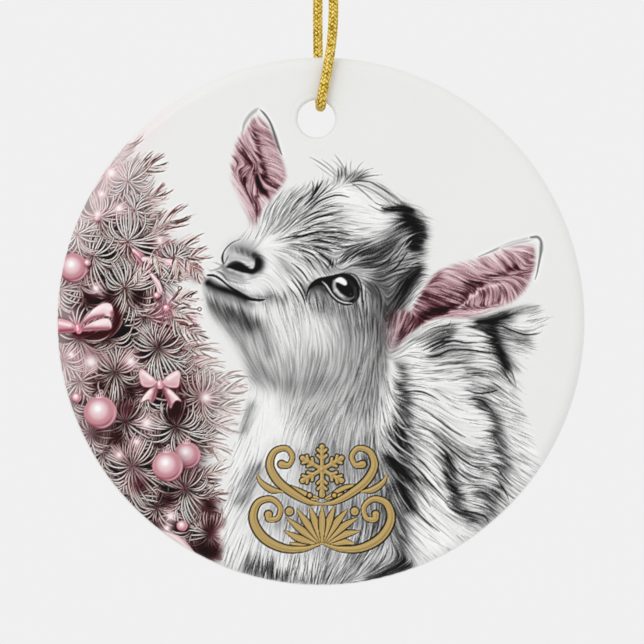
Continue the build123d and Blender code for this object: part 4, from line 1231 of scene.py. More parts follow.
RIGHT_EAR = [
    (15, 5.6), (16, 6.7), (17.5, 7.5), (19, 8), (20.5, 8.3), (22, 8.7), (24, 9.5), (26, 10.2), (28, 10.6),
    (29.3, 10.5), (29.6, 9.2), (29.5, 7.6), (29, 5.9), (28.3, 4.6), (27.2, 3.3), (25.8, 2.4), (24, 1.8),
    (22.6, 1.1), (21, 0.7), (19.4, 0.5), (17.6, 0.6), (16, 0.4), (14.6, -0.2), (13.2, -1), (12, -2),
    (11, -3), (10, -4), (9.4, -3.4), (9.2, -1.4), (9.7, 0.6), (11, 1.6), (12.4, 1.2), (13, 2.2),
    (13.8, 3.8),
]
RIGHT_EAR_COMB = [
    [(13.4, 1.4), (14.2, 1.1), (15, 0.7)], [(13.4, 2.5), (14.6, 2), (16, 1.5)],
    [(14.4, 3.6), (16.4, 2.9), (18, 2.4)], [(15.2, 4.7), (17.4, 4), (19.4, 3.3)],
    [(16.2, 5.8), (18.4, 4.9), (20.2, 4.4)], [(17.4, 6.9), (19, 6.2), (20.4, 5.3), (22, 5.1)],
    [(19, 7.3), (20.6, 6.7), (22, 6), (23.4, 5.9)], [(20.6, 7.8), (22.4, 6.9), (24.2, 6.5)],
    [(22.4, 8.6), (23.4, 7.8), (24.8, 7)], [(23.8, 9), (24.9, 8), (25.6, 7.1)],
    [(25.2, 9.5), (26.2, 8.5), (26.8, 7.4)], [(26.6, 9.5), (27.5, 8.6), (28, 7.6)],
    [(26, 9.8), (27.6, 9.4), (29.4, 9)], [(24, 5.6), (26.4, 6.4), (29, 7.4)],
    [(26, 10.1), (28, 10.3), (29.4, 10)], [(20.6, 4), (20.9, 3.2), (20.6, 2.4)],
    [(22, 4.6), (22.4, 3.6), (22, 2.6)], [(23.4, 4.9), (23.7, 3.8), (23.3, 2.7)],
    [(24.6, 5), (25, 4), (24.8, 3)], [(25.6, 5), (26.2, 4.4), (26.4, 3.8)],
    [(27, 5.6), (27.6, 5), (27.9, 4.7)], [(15, 5.2), (15.9, 6.2), (17.2, 6.9)],
    [(18, 1.4), (20, 1.5), (22, 1.3), (24, 2.1)], [(15, 0.6), (16.6, 0.9), (18, 1.2)],
    [(12, 1.4), (11.2, -0.6), (10.4, -3)], [(10.4, 1.4), (10.1, -0.6), (9.7, -3)],
    [(13, 0), (12.2, -1.2), (11.2, -2.4)],
]
RIGHT_EAR_SHADE = [
    (2.6, 0.62, 1.0, [(15.4, 4.4), (19, 5.2), (23, 6.4), (27.4, 8)]),
    (1.0, 0.84, 0.9, [(17.4, 7.3), (20, 8), (22.4, 8.5), (25, 9.6), (28, 10.2)]),
    (1.0, 0.62, 0.8, [(29, 9), (28.8, 7), (27.4, 4.8)]),
    (1.5, 0.34, 0.9, [(14.4, 3.4), (16.4, 3.4), (18.6, 3.9), (20, 4.4)]),
    (0.8, 0.72, 0.8, [(17, 5.6), (18.8, 5.9), (20.2, 6.2)]),
    (0.7, 0.04, 1.0, [(12.9, -0.5), (13.8, 0.4), (15.2, 1.0), (17, 1.6), (18.6, 2.1), (19.8, 2.4)]),
    (0.5, 0.06, 0.95, [(19.7, 3.8), (20.6, 4.2), (21.8, 4.6)]),
    (0.5, 0.20, 0.9, [(20.4, 5.1), (22, 5.2), (23.4, 5.8), (24.6, 6.4), (25.6, 6.9), (27, 7.3)]),
    (0.5, 0.40, 0.8, [(14.7, 4.9), (15.4, 5.7), (16.4, 6.5)]),
    (1.0, 0.20, 0.9, [(13, 0), (12.3, -1.1), (11.4, -2.1)]),
    (0.4, 0.36, 0.85, [(20, 2), (22, 2), (23.6, 2.3), (25, 2.9)]),
    (0.5, 0.45, 0.8, [(28.6, 8.4), (28.7, 7.4)]),
    (1.0, 0.46, 0.9, [(22, 3.6), (23.6, 3.8), (25.6, 3.9)]),
    (0.5, 0.60, 0.9, [(23, 5.3), (25, 5.9), (27, 6.4), (28.6, 7)]),
    (0.26, 0.86, 0.9, [(19.2, 2), (20, 2.7), (21, 3.6), (22, 4.4), (23.4, 4.9), (25, 5.1)]),
    (0.4, 0.80, 0.9, [(18, 1.3), (20, 1.3), (22, 1.3), (24, 2), (25.4, 2.8)]),
    (0.9, 0.36, 0.85, [(10.2, 0.6), (10, -1.4), (9.8, -3.2)]),
    (0.5, 0.56, 0.7, [(11.4, 1), (10.8, -0.8)]),
    (0.6, 0.18, 0.8, [(11.4, -1.6), (10.6, -2.8), (10, -3.8)])]
RIGHT_EAR_LINE = [
    (0.13, (0.52, 0.53, 0.53), 0.85, [(21.8, 8.95, 0.3), (23.4, 9.6, 0.8), (25, 10.3), (26.4, 10.9),
                                      (28, 11.3), (29.3, 11.65)]),
    (0.10, (0.66, 0.67, 0.66), 0.8, [(25, 10.1, 0.4), (27, 10.8), (28.6, 11.1), (29.7, 11.5, 0.5)]),
    (0.16, (0.42, 0.43, 0.43), 0.9, [(29, 11.6, 0.7), (29.9, 11.65), (30.4, 11.1), (30.45, 10.1, 1.3),
                                     (30.3, 9, 0.9), (30.1, 7.9, 0.7), (29.9, 6.8, 0.5), (29.6, 5.8, 0.3)])]

# Skin of the ears from its deepest fold to its brightest hairs.
SKIN_TONES = np.array([0.0, 0.2, 0.4, 0.6, 0.8, 1.0])
SKIN = np.array([(50, 24, 31), (84, 50, 57), (128, 91, 98), (178, 142, 148), (210, 183, 187),
                 (236, 222, 224)]) / 255
SKIN_TONE = 0.7
EAR_RIM = (0.935, 0.94, 0.935)
# Hairs to each square millimetre of an ear, their length and their half width.
EAR_HAIRS = ((1.2, 3.0, 0.065), (1.2, 2.2, 0.055))


def ear(canvas, outline, comb, shade, lines, seed, root, root_width):
    """One ear: pale rim with its dark line, then skin shaded and combed; it fades out at its root."""
    for half, colour, strength, places in lines:
        airbrush(canvas, [p[:2] for p in places], 0.45, EAR_RIM, 0.9)
        pen(canvas, places, half, colour, strength, 0.20)
    flow = combed(comb, spread=0.10)
    corners = np.array(outline)
    box = window(corners.min(axis=0), corners.max(axis=0), 2.0)
    strands = streaks(flow, length=4.6, grain=0.085, seed=seed, box=box)
    locks = streaks(flow, length=3.4, grain=0.17, seed=seed + 1, box=box)
    tone = np.full((SIZE, SIZE), SKIN_TONE, np.float32)
    for width, value, strength, places in shade:
        airbrush(tone, places, width, value, strength)
    tone = furred(tone, flow, 0.5 * locks + 0.4 * strands, 0.22)
    tone = tone - 0.03 + 0.15 * np.tanh(1.3 * strands) + 0.03 * np.tanh(locks)
    rng = np.random.default_rng(seed)
    cover_all = inside(outline, 0.2)
    for share, length, half in EAR_HAIRS:
        count = int(share * cover_all.sum() * PITCH ** 2)
        tone -= 0.46 * hairs(flow, rng, cover_all, count, length, half) * np.clip(tone - 0.05, 0.1, 0.8)
        tone += 0.45 * hairs(flow, rng, cover_all, count, length, half) * np.clip(0.98 - tone, 0, 0.6)
    mask = furred(inside(outline, 0.22), flow, 0.5 * strands + 0.4 * locks, 0.10)
    fade = np.zeros((SIZE, SIZE), np.float32)
    airbrush(fade, root, root_width, 1.0)
    blend(mask, 0.8 * inside(outline, 0.9), fade)
    skin = np.stack([np.interp(tone, SKIN_TONES, SKIN[:, k]) for k in range(3)], axis=-1)
    blend(canvas, skin, mask)


# Where the tree ends on its right side: height, then x.
TREE_SIDE = np.array([
    (27, -27), (24, -25.6), (21, -23.4), (18, -22.6), (15, -20.4), (12.4, -18.4), (10, -17.6), (7.6, -18.4),
    (4, -19), (0.6, -17.6), (-2.6, -15.4), (-5, -16), (-8, -15.4), (-10.4, -13.6), (-13, -13.8),
    (-16, -13.8), (-19, -15.8), (-22, -15), (-25, -14.6), (-28, -14), (-31, -13.4), (-36, -13.4),
])

# Bursts of needles, from the back to the front: place, length of needle, share of bend.
BURSTS = [
    (-29.6, 20.6, 3.2, 0.2), (-33.4, 5, 3.4, 0.3), (-22.4, 6, 3.2, 0.2), (-24.2, 0.6, 4, 0.3),
    (-29.6, -2.6, 4.4, 0.3), (-24.4, -9.6, 4, 0.3), (-30, -18, 4, 0.3), (-20, -7.2, 3.2, 0.2),
    (-17.8, -16.6, 3.4, 0.3), (-22.6, -25.6, 3.6, 0.3), (-17.4, -28.6, 3.4, 0.2), (-34.6, -11, 3, 0.2),
    (-26, -24, 3.4, 0.2), (-22.4, -17, 3.6, 0.2), (-29, -12, 4, 0.2), (-26.6, 19.3, 3.6, 0.35),
    (-25.7, 15.3, 3.2, 0.1), (-30.6, 14.4, 4.4, 0.3), (-26.6, 11, 4.6, 0.3), (-31.5, 9, 4.4, 0.35),
    (-20.5, 8.6, 3, 0.2), (-27, 4.6, 4.6, 0.35), (-33.4, -2.4, 4.4, 0.2), (-22.5, -3.7, 4.8, 0.3),
    (-28.4, -7, 4.4, 0.35), (-33.3, -8.3, 3, 0.2), (-16.4, -10.5, 4.2, 0.2), (-26.9, -13.9, 3.6, 0.3),
    (-20, -14.6, 4.8, 0.35), (-26, -20, 5, 0.3), (-18.7, -23.2, 4.4, 0.3), (-15.2, -29.4, 3.8, 0.2),
    (-33.6, 12, 3, 0.2), (-36.2, 4.4, 3, 0.2), (-35.6, -5.4, 3, 0.2), (-31.8, -15.4, 2.8, 0.2),
]

# Feathery branch ends, from stem to tip, with the length of their needles.
BRANCHES = [
    (3.0, [(-29.4, 20.6), (-28, 22.6), (-26.6, 24.4)]),
    (3.0, [(-27, 19.8), (-25.4, 20.6), (-23.6, 21.4)]),
    (2.6, [(-25.8, 15.6), (-24.4, 16.2), (-22.8, 17.2)]),
    (2.4, [(-25.6, 15), (-24, 15), (-23, 14.6)]),
    (3.4, [(-26, 11.4), (-23.6, 12.4), (-20.8, 13.8)]),
    (3.0, [(-23.4, 9.4), (-20.8, 9.6), (-18.6, 10.2)]),
    (2.4, [(-20.4, 8.2), (-18.6, 8.6), (-17.4, 9)]),
    (3.2, [(-22.2, -3), (-19.6, -3.4), (-16.8, -4)]),
    (3.0, [(-21.6, -4.6), (-19, -5.6), (-16, -6.2)]),
    (3.0, [(-18.6, -8), (-15.6, -8), (-13, -8)]),
    (3.0, [(-18, -10.4), (-15, -10.2), (-12.6, -9.6)]),
    (2.8, [(-18, -12), (-15.6, -12), (-13, -11.8)]),
    (2.8, [(-19, -14.2), (-16, -14.2), (-13.6, -14.4)]),
    (2.8, [(-18.6, -15.4), (-16.4, -16.2), (-14.6, -17.4)]),
    (2.6, [(-18.4, -22.4), (-16.4, -21.6), (-14.8, -20.8)]),
    (2.6, [(-18.4, -23.4), (-16.4, -23.8), (-14.6, -24)]),
    (2.4, [(-18, -24.4), (-16.2, -25.6), (-14.8, -26.8)]),
    (2.2, [(-15.6, -29), (-14.6, -28.4), (-13.8, -28.2)]),
]

# Dark hollows between the branches.
HOLLOWS = [
    (-31, -15.6), (-28.2, -16), (-15.6, -32), (-19.8, -12.4), (-23, -28.4), (-29.2, 3.2), (-32, 2.8),
    (-25.2, 3.2), (-26.2, -9.6), (-30.6, -8.8), (-25, -22.6), (-15.4, -25.4), (-14.6, -31.6),
    (-18.4, -31.6), (-15, -28.6), (-21, -24.6), (-26.6, -12), (-31.6, -5), (-16.4, -31.4),
]

NEEDLE_LIGHT = np.array([(251, 244, 236), (242, 230, 219), (247, 223, 220), (224, 204, 197)]) / 255
NEEDLE_DARK = np.array([(46, 24, 22), (24, 12, 11), (74, 32, 36), (56, 38, 34)]) / 255


NEEDLE_WIDTH = 0.135
TREE_DARK = (0.11, 0.06, 0.068)
TREE_ROSE = (0.88, 0.68, 0.72)
TREE_PALE = (0.93, 0.88, 0.88)
HOLLOW = (0.17, 0.04, 0.06)


def away(x, z, way, length):
    """The place at a length from another, in a direction."""
    return x + length * math.cos(way), z + length * math.sin(way)


def circle(x, z, r):
    return [away(x, z, way, r) for way in np.linspace(0, 6.28, 9)]


def blade(canvas, root, tip, bend, width, colour, strength):
    """A thin needle from its root to a fine tip, bowed sideways by bend times its length."""
    (x0, z0), (x1, z1) = root, tip
    length = math.hypot(x1 - x0, z1 - z0)
    ux, uz = (x1 - x0) / length, (z1 - z0) / length
    pad = abs(bend) * length + width + 0.15
    box = window((min(x0, x1), min(z0, z1)), (max(x0, x1), max(z0, z1)), pad)
    gx, gz = GX[box] - x0, GZ[box] - z0
    if gx.size == 0:
        return
    t = (gx * ux + gz * uz) / length
    off = np.abs(gz * ux - gx * uz - 4 * bend * length * t * (1 - t))
    inside_length = (t > -0.02) & (t < 1.0)
    half = width / 2 * np.clip(1.15 - t, 0, 1) ** 0.6 * np.clip(0.45 + 2.2 * t, 0, 1)
    cover = strength * inside_length * (1 - smooth(off, half - 0.02, half + 0.09)) * (1 - smooth(t, 0.8,
                                                                                                 1.0))
    blend(canvas, colour, cover.astype(np.float32), box)


def needles(canvas, rng, root, way, length, bend, shade=0.86, light=1.0, gap=0.40):
    """One pale needle on the dark gap that parts it from those behind."""
    tip = away(*root, way, length)
    dark = NEEDLE_DARK[rng.integers(4)]
    pale = NEEDLE_LIGHT[rng.integers(4)]
    blade(canvas, root, tip, bend, gap, dark, shade)
    blade(canvas, root, tip, bend, NEEDLE_WIDTH, pale, light)


def burst(canvas, rng, x, z, reach, bend):
    """A star of needles round a bud, bowed one way on each side as if by their weight."""
    airbrush(canvas, [(x, z)], 0.6 * reach, (0.12, 0.07, 0.075), 0.8)
    count = int(13 * reach)
    phase = rng.uniform(0, 6.28)
    order = rng.permutation(count)
    lean = -0.6 + 0.7 * math.sin(2.3 * x + 1.7 * z)
    for k in order:
        way = phase + 2 * math.pi * (k + rng.uniform(-0.4, 0.4)) / count
        way += 0.11 * math.sin(5 * way + phase)
        bow = bend * math.cos(way) * -0.7 + 0.18 * math.sin(3 * way + phase)
        length = reach * rng.uniform(0.75, 1.12) * (1 + 0.2 * math.cos(way - lean))
        tip = away(x, z, way, length)
        if tip[0] > tree_side(tip[1]) + 1.2:
            length *= 0.6
        needles(canvas, rng, away(x, z, way, 0.25), way, length, bow)
    airbrush(canvas, [(x, z)], 0.36 * reach, (0.10, 0.05, 0.06), 0.55 * float(smooth(-z, -12, 4)))
    rosy = away(x, z, lean + 2.2, 0.5 * reach)
    airbrush(canvas, [rosy], 0.4 * reach, (0.44, 0.22, 0.25), 0.24 * float(smooth(-z, -10, 6)))
    airbrush(canvas, [(x, z)], 0.4, (0.42, 0.25, 0.28), 0.6)


def tree_side(z):
    return np.interp(-z, -TREE_SIDE[:, 0], TREE_SIDE[:, 1])


def branch(canvas, rng, reach, path):
    """A feathery branch end: long needles that leave its stem at a small angle and bow outwards."""
    run = spline(path, 0.13)
    way = np.gradient(run, axis=0)
    for k, ((x, z), (wx, wz)) in enumerate(zip(run, way)):
        along = k / (len(run) - 1)
        aim = math.atan2(wz, wx)
        for side in (1, -1):
            turn = side * (0.70 - 0.40 * along) * rng.uniform(0.2, 1.2)
            length = reach * rng.uniform(0.8, 1.25)
            bow = side * rng.uniform(0.02, 0.12)
            if (k + (side > 0)) % 2:
                colour = NEEDLE_DARK[rng.integers(4)] * 1.7
                blade(canvas, (x, z), away(x, z, aim + turn, length), bow, 0.12, colour, 0.8)
            else:
                needles(canvas, rng, (x, z), aim + turn, length, bow, 0.30, 0.95, 0.24)


BALL_PALE = np.array((226, 192, 197)) / 255
BALL_MID = np.array((196, 140, 149)) / 255
BALL_DEEP = np.array((120, 62, 74)) / 255
BALL_BOUNCE = np.array((0.93, 0.75, 0.79))


def bauble(canvas, x, z, r, cap=True):
    """A glass ball: pink, darker round its edge and below, with a soft white light."""
    box = window((x - r, z - r), (x + r, z + r), 0.3)
    dx, dz = (GX[box] - x) / r, (GZ[box] - z) / r
    d = np.hypot(dx, dz)
    lit = np.exp(-((dx + 0.16) ** 2 + (dz - 0.26) ** 2) / 0.085)
    body = smooth(np.hypot(dx + 0.12, dz - 0.16), 0.25, 1.15)
    colour = BALL_PALE + (BALL_MID - BALL_PALE) * smooth(body, 0.0, 0.6)[..., None]
    under = smooth(body, 0.6, 1.15) * smooth(-dz + 0.6, 0.2, 1.5)
    colour = colour + (BALL_DEEP - colour) * under[..., None]
    colour = colour + (1 - colour) * (0.95 * lit)[..., None]
    bounce = np.exp(-((d - 0.88) / 0.07) ** 2) * smooth(dx - dz, 0.3, 1.2)
    colour = colour + (BALL_BOUNCE - colour) * (0.6 * bounce)[..., None]
    cover = 1 - smooth(d * r, r - 0.06, r + 0.08)
    airbrush(canvas, [(x + 0.25, z - 0.35)], r * 1.05, (0.22, 0.10, 0.13), 0.7)
    blend(canvas, colour, cover.astype(np.float32), box)
    if cap:
        pen(canvas, [(x - 0.1 * r - 0.1, z + 1.02 * r), (x - 0.1 * r + 0.3, z + 1.04 * r)], 0.30,
            (0.90, 0.78, 0.80), 1.0)
        for shift in (-0.28, 0.02, 0.3):
            pen(canvas, [(x - 0.1 * r + shift + 0.1, z + 1.0 * r),
                         (x - 0.1 * r + shift + 0.1, z + 1.0 * r + 0.28)], 0.07, (0.42, 0.22, 0.26), 0.85,
                0.06)
        pen(canvas, circle(x + 0.1, z + 1.16 * r + 0.28, 0.22), 0.07, (0.85, 0.72, 0.74), 0.9, 0.06)


def glow(canvas, x, z, r):
    """A ball out of focus, or a small lamp."""
    airbrush(canvas, [(x, z)], 1.7 * r, (0.88, 0.72, 0.75), 0.6)
    airbrush(canvas, [(x, z)], 0.75 * r, (1.0, 0.97, 0.96), 0.9)


def ribbon(canvas, outline, light, deep, ridge, shade):
    """A folded piece of ribbon: filled outline, light along its ridge, dark in its fold."""
    mask = inside(outline, 0.09)
    blend(canvas, light, mask)
    layer = canvas.copy()
    for places in shade:
        airbrush(layer, places, 0.34, deep, 0.8)
    for places in ridge:
        airbrush(layer, places, 0.28, (0.98, 0.92, 0.93), 0.85)
    blend(canvas, layer, mask)
    pen(canvas, [*outline, outline[0]], 0.06, (0.40, 0.20, 0.25), 0.6, 0.07)


PINK = (0.93, 0.83, 0.84)
ROSE = (0.84, 0.63, 0.66)
DUSKY = (0.87, 0.74, 0.75)
MAROON = (0.56, 0.28, 0.33)


# Ribbons near the top right of the tree: half width, colour, then places.
SASHES = [
    (0.62, (0.84, 0.60, 0.64), [(-25.8, 9.8, 0.4), (-24.9, 8.9), (-24.2, 7.8), (-24.1, 6.6),
                                (-24.8, 5.7, 0.7)]),
    (0.52, (0.92, 0.80, 0.82), [(-24.4, 8.6, 0.6), (-22.8, 8.2), (-20.8, 8.1), (-19.2, 7.8),
                                (-17.9, 7, 0.7), (-17.2, 6.2, 0.5)]),
    (0.40, (0.86, 0.62, 0.66), [(-19.6, 8.2, 0.6), (-18.2, 7.9), (-17.2, 7.2), (-16.9, 6.2, 0.4)]),
    (0.34, (0.93, 0.82, 0.84), [(-23.6, 6.8, 0.5), (-22.6, 5.4), (-22.2, 4.2), (-22.6, 3.4, 0.6)]),
]
# Small glass balls: place and radius.
BEADS = [
    (-32.2, 8.1, 0.5), (-33.7, -10.5, 0.7), (-19.1, -28.2, 0.75), (-30.9, 14.2, 0.4), (-22.6, 3.6, 0.45),
]
# Balls out of focus and lamps: place and radius.
GLOWS = [
    (-31.7, -5.6, 1.2), (-26.2, -5.5, 0.9), (-15.8, -10.5, 0.9), (-24, -14, 0.9), (-13.4, -29.2, 0.9),
    (-28.9, 20.5, 0.8), (-31, 4.6, 0.7), (-24.9, 5.6, 0.5), (-25.4, -16.6, 0.5), (-27.8, 15.6, 0.7),
    (-30.8, 14.8, 0.6), (-30.2, 17.6, 0.6), (-22.2, 11.2, 0.6), (-34.4, -4.6, 0.5), (-27.8, -18.4, 0.5),
    (-20.7, -26.9, 0.7), (-21.2, -28.5, 0.55),
]


def trimmings(canvas):
    """What hangs on the tree: ribbons, a star, two bows, glass balls and lamps."""
    # ribbons near the top right of the tree
    for width, colour, places in SASHES:
        airbrush(canvas, [p[:2] for p in places], width * 1.5, (0.36, 0.20, 0.24), 0.45)
        pen(canvas, places, width, colour, 1.0, 0.14)
        pen(canvas, [(p[0] - 0.12, p[1] + 0.15, 0.5) for p in places], width * 0.4, (0.97, 0.90, 0.91), 0.7,
            0.14)
        pen(canvas, [(p[0] + 0.1, p[1] - 0.42, 0.4) for p in places], width * 0.3, (0.52, 0.27, 0.32), 0.7,
            0.12)
    # star with beaded rays
    heart = (-21.3, 1.9)
    rays = [(-17.3, -0.4), (-19.2, 2.6), (-16.7, 1.7), (-18, 3.6), (-19.4, 4.6), (-21.6, 5), (-23.8, 4),
            (-24.4, 2), (-23.6, 0), (-22.4, -1.6), (-20.6, -1.8), (-18.6, -1.6), (-17.2, 0.6), (-20, -0.6),
            (-22, -0.4), (-23, 3)]
    airbrush(canvas, [heart], 1.8, (0.80, 0.60, 0.64), 0.55)
    for k, end in enumerate(rays):
        pen(canvas, [(*heart, 1.2), ((heart[0] + end[0]) / 2, (heart[1] + end[1]) / 2, 1), (*end, 0.7)],
            0.11, (0.30, 0.14, 0.18), 0.85, 0.08)
        pen(canvas, [(*heart, 1.2), (*end, 0.6)], 0.06, (0.90, 0.70, 0.74), 0.9, 0.08)
        if k < 5:
            pen(canvas, circle(*end, 0.24), 0.07, (0.42, 0.20, 0.25), 0.9, 0.06)
            pen(canvas, [end], 0.14, (0.96, 0.88, 0.90), 1.0)
    pen(canvas, [heart], 0.42, (0.86, 0.60, 0.64), 1.0)
    pen(canvas, [(heart[0] - 0.08, heart[1] + 0.1)], 0.18, (0.99, 0.95, 0.95), 1.0)
    # thin dark hairs and soft pink swirl right of the star
    rng = np.random.default_rng(16)
    for path in ([(-20.6, 2.8), (-18.6, 3.2)], [(-20.4, 1.6), (-18.6, 1)], [(-20.6, 0.6), (-19, -1)]):
        branch(canvas, rng, 2.2, path)
    airbrush(canvas, [(-17.4, 0.6), (-17, -1), (-17.4, -2.4)], 0.5, (0.90, 0.78, 0.80), 0.5)
    branch(canvas, rng, 1.8, [(-18.8, -0.8), (-17, -1.8)])
    # shadow under the big bow
    airbrush(canvas, [(-33.8, -1.5), (-31, -1.8), (-28.8, -1.2), (-28.1, 0.4), (-28.4, 1.6)], 0.8,
             (0.26, 0.06, 0.10), 0.9)
    ribbon(canvas, [(-33.2, -0.5), (-32.4, 0.7), (-31.2, 1.9), (-29.9, 2.6), (-28.9, 2.4), (-28.6, 1.5),
                    (-28.7, 0.6), (-30, 0.7), (-31.6, 0.1)], PINK, MAROON,
           [[(-31.4, 1.4), (-30, 2), (-29.2, 1.8)]], [[(-32.6, -0.2), (-31.4, 0.5), (-30, 0.8)],
                                                      [(-28.7, 1.2), (-28.7, 0.5)]])
    ribbon(canvas, [(-33.1, -0.9), (-31.4, 0), (-29.9, 0.5), (-29.1, 0.3), (-28.8, -0.5), (-29.1, -1.1),
                    (-31, -1.25), (-33, -1.35)], PINK, MAROON, [[(-31, -0.3), (-29.6, 0)]],
           [[(-33, -1.1), (-31, -1), (-29.2, -1)]])
    ribbon(canvas, [(-33.6, -0.7), (-34.6, 0.1), (-36.4, 0.4), (-36.6, -1.5), (-35, -1.6), (-33.8, -1.4)],
           ROSE, MAROON, [[(-36, -0.2), (-34.6, -0.5)]], [[(-36, -1.3), (-34.2, -1.2)]])
    pen(canvas, [(-33.45, -0.6), (-33.35, -1.3)], 0.42, (0.82, 0.50, 0.56), 1.0)
    pen(canvas, [(-33.6, -0.6), (-33.5, -1.1)], 0.14, (0.97, 0.86, 0.88), 0.9)
    # second bow
    airbrush(canvas, [(-24.4, -8.8), (-22.2, -9.6), (-19.8, -9)], 0.9, (0.28, 0.10, 0.13), 0.85)
    airbrush(canvas, [(-20, -12), (-19.4, -10.8), (-20.6, -12.8)], 0.8, (0.22, 0.07, 0.10), 0.9)
    ribbon(canvas, [(-22.5, -8.9), (-23.6, -9.3), (-24.5, -10.3), (-24.95, -11.3), (-24.3, -11.0),
                    (-23.7, -10.8), (-23.2, -11.2), (-22.7, -10.3)], DUSKY, MAROON,
           [[(-23.5, -9.7), (-24.4, -10.7)]], [[(-22.7, -9.3), (-23.0, -10.3), (-23.2, -11)]])
    ribbon(canvas, [(-21.9, -8.9), (-20.8, -9.3), (-19.8, -10.2), (-19.1, -11.1), (-19.8, -10.9),
                    (-20.3, -11.3), (-20.7, -12.0), (-21.3, -10.7)], DUSKY, MAROON,
           [[(-20.9, -9.7), (-19.9, -10.6)]], [[(-21.7, -9.3), (-21.2, -10.4), (-20.8, -11.5)]])
    ribbon(canvas, [(-22.4, -8.4), (-23.4, -7.4), (-24.6, -6.5), (-25.1, -6.9), (-25, -8), (-24.6, -8.9),
                    (-23.4, -9.1)], DUSKY, ROSE, [[(-23.4, -7.9), (-24.5, -7.1)]],
           [[(-22.8, -8.7), (-24.2, -8.6)]])
    ribbon(canvas, [(-22, -8.4), (-21, -7.3), (-19.8, -6.7), (-19.3, -7.1), (-19.4, -8.2), (-19.7, -9.1),
                    (-21, -9.1)], DUSKY, ROSE, [[(-21, -7.9), (-19.9, -7.2)]],
           [[(-21.6, -8.7), (-20, -8.7)]])
    pen(canvas, [(-22.2, -8.4), (-22.15, -8.95)], 0.36, (0.86, 0.62, 0.66), 1.0)
    pen(canvas, [(-22.3, -8.4), (-22.25, -8.7)], 0.14, (0.98, 0.92, 0.93), 0.9)
    # glass balls and beads
    pen(canvas, [(-30.6, -8.3, 0.6), (-30.7, -9), (-30.4, -9.9)], 0.09, (0.85, 0.74, 0.76), 0.9)
    bauble(canvas, -34.1, 7.4, 2.0, cap=False)
    bauble(canvas, -30.4, -12.6, 2.26)
    bauble(canvas, -18.4, -18.5, 1.85)
    bauble(canvas, -21.1, -20.0, 2.12)
    for x, z, r in BEADS:
        bauble(canvas, x, z, r, cap=False)
    for x, z, r in GLOWS:
        glow(canvas, x, z, r)
    # needles that lie over the ribbons
    rng = np.random.default_rng(6)
    for path in ([(-23.2, 9.4), (-22, 7.6)], [(-20, 9.2), (-19.4, 7.2)], [(-25.6, 5), (-24.2, 7)],
                 [(-18.6, 8.8), (-17, 6.6)]):
        branch(canvas, rng, 1.7, path)
    # ball at the lower rim
    pen(canvas, [(-21.6, -29.2, 0.5), (-20, -30), (-18.6, -31.2), (-17.4, -32.4, 0.5)], 0.55,
        (0.88, 0.75, 0.77), 1.0, 0.2)
    pen(canvas, [(-21.2, -29.2, 0.5), (-19.7, -30.1), (-18.4, -31.3, 0.4)], 0.2, (0.97, 0.90, 0.91), 0.9,
        0.2)


def tree(canvas):
    """The Christmas tree, from its dark inside to what hangs on it."""
    rng = np.random.default_rng(5)
    side = tree_side(GZ)
    body = smooth(side - GX, 2.4, 5.0) * smooth(22 - GZ, 0, 4)
    blend(canvas, TREE_DARK, 0.95 * body)
    for reach, path in BRANCHES:
        branch(canvas, rng, reach, path)
    for x, z, reach, bend in BURSTS:
        burst(canvas, rng, x, z, reach, bend)
    for x, z in HOLLOWS:
        airbrush(canvas, [(x, z)], 1.25, HOLLOW, 0.85)
    rosy = smooth(white_noise(seed=8, grain=1.1), 0.3, 1.8) * body
    blend(canvas, TREE_ROSE, 0.24 * rosy)
    # the top of the tree is paler than its middle
    haze = 0.42 * smooth(GZ, 5, 22) * smooth(side + 1 - GX, 0, 3)
    haze += 0.5 * smooth(np.hypot(GX, GZ), 31.6, 36) * smooth(GZ, -24, -12) * smooth(-GX, 15,
                                                                                     25) * (1 - haze)
    blend(canvas, TREE_PALE, haze)
    # the tips fade towards the white between the tree and the kid
    fade = 0.5 * (1 - smooth(side - GX, -1.5, 3.2)) * smooth(-GZ, -14, -4) * smooth(GZ, -22, -18)
    blend(canvas, GLAZE, fade)
    trimmings(canvas)


# Half of the gold flourish; the other half is its mirror image about MIDDLE.
# The third value of a point scales the stroke's half width there.
MIDDLE = 0.2
SCROLLS = [
    [(0.2, -30.6, 0.25), (-2.4, -31.4, 0.8), (-5.4, -31.2, 1.15), (-8, -29.7, 1.3), (-9.3, -27.3, 1.2),
     (-8.7, -25.1, 1.0), (-6.9, -24.5, 0.85), (-5.6, -25.6, 0.75), (-5.9, -27.1, 0.75), (-7.1, -27.3, 0.8),
     (-7.2, -26.6, 1.1)],
    [(0.2, -25.2, 0.3), (-1.6, -24.9, 0.75), (-3.8, -23.7, 1.1), (-5.9, -22, 1.2), (-7, -19.9, 1.1),
     (-6.4, -18, 0.9), (-4.8, -17.5, 0.8), (-3.9, -18.6, 0.75), (-4.4, -19.8, 0.75), (-5.4, -19.7, 1.1)],
    [(-5.2, -23.5, 0.2), (-6.8, -23.2, 0.9), (-8.2, -22.2, 0.7), (-8.8, -21, 0.15)],
]
BUDS = [
    (0.2, -23.9, 0.42), (-1.5, -24.0, 0.3), (1.9, -24.0, 0.3), (-4.3, -26.2, 0.55), (4.7, -26.2, 0.55),
]
# A fan of leaves that rises from PALM: how far each one leans, in degrees, and its length.
PALM = (0.2, -30.9)
LEAVES = [(86, 4.4), (69, 5.5), (52, 6.1), (35, 6.0), (17.5, 5.6), (0, 5.3)]
# The same round the foot of the snowflake.
SPRAY = (0.2, -24.6)
SPRIGS = [(82, 4.2), (66, 5.2)]
FLAKE = (0.2, -20.4)
FLAKE_REACH = 3.1

GOLD_FILL = (0.69, 0.588, 0.378)
GOLD_LIGHT = (0.80, 0.70, 0.48)
GOLD_DEEP = (0.56, 0.46, 0.27)
GOLD_LINE = (0.17, 0.14, 0.10)


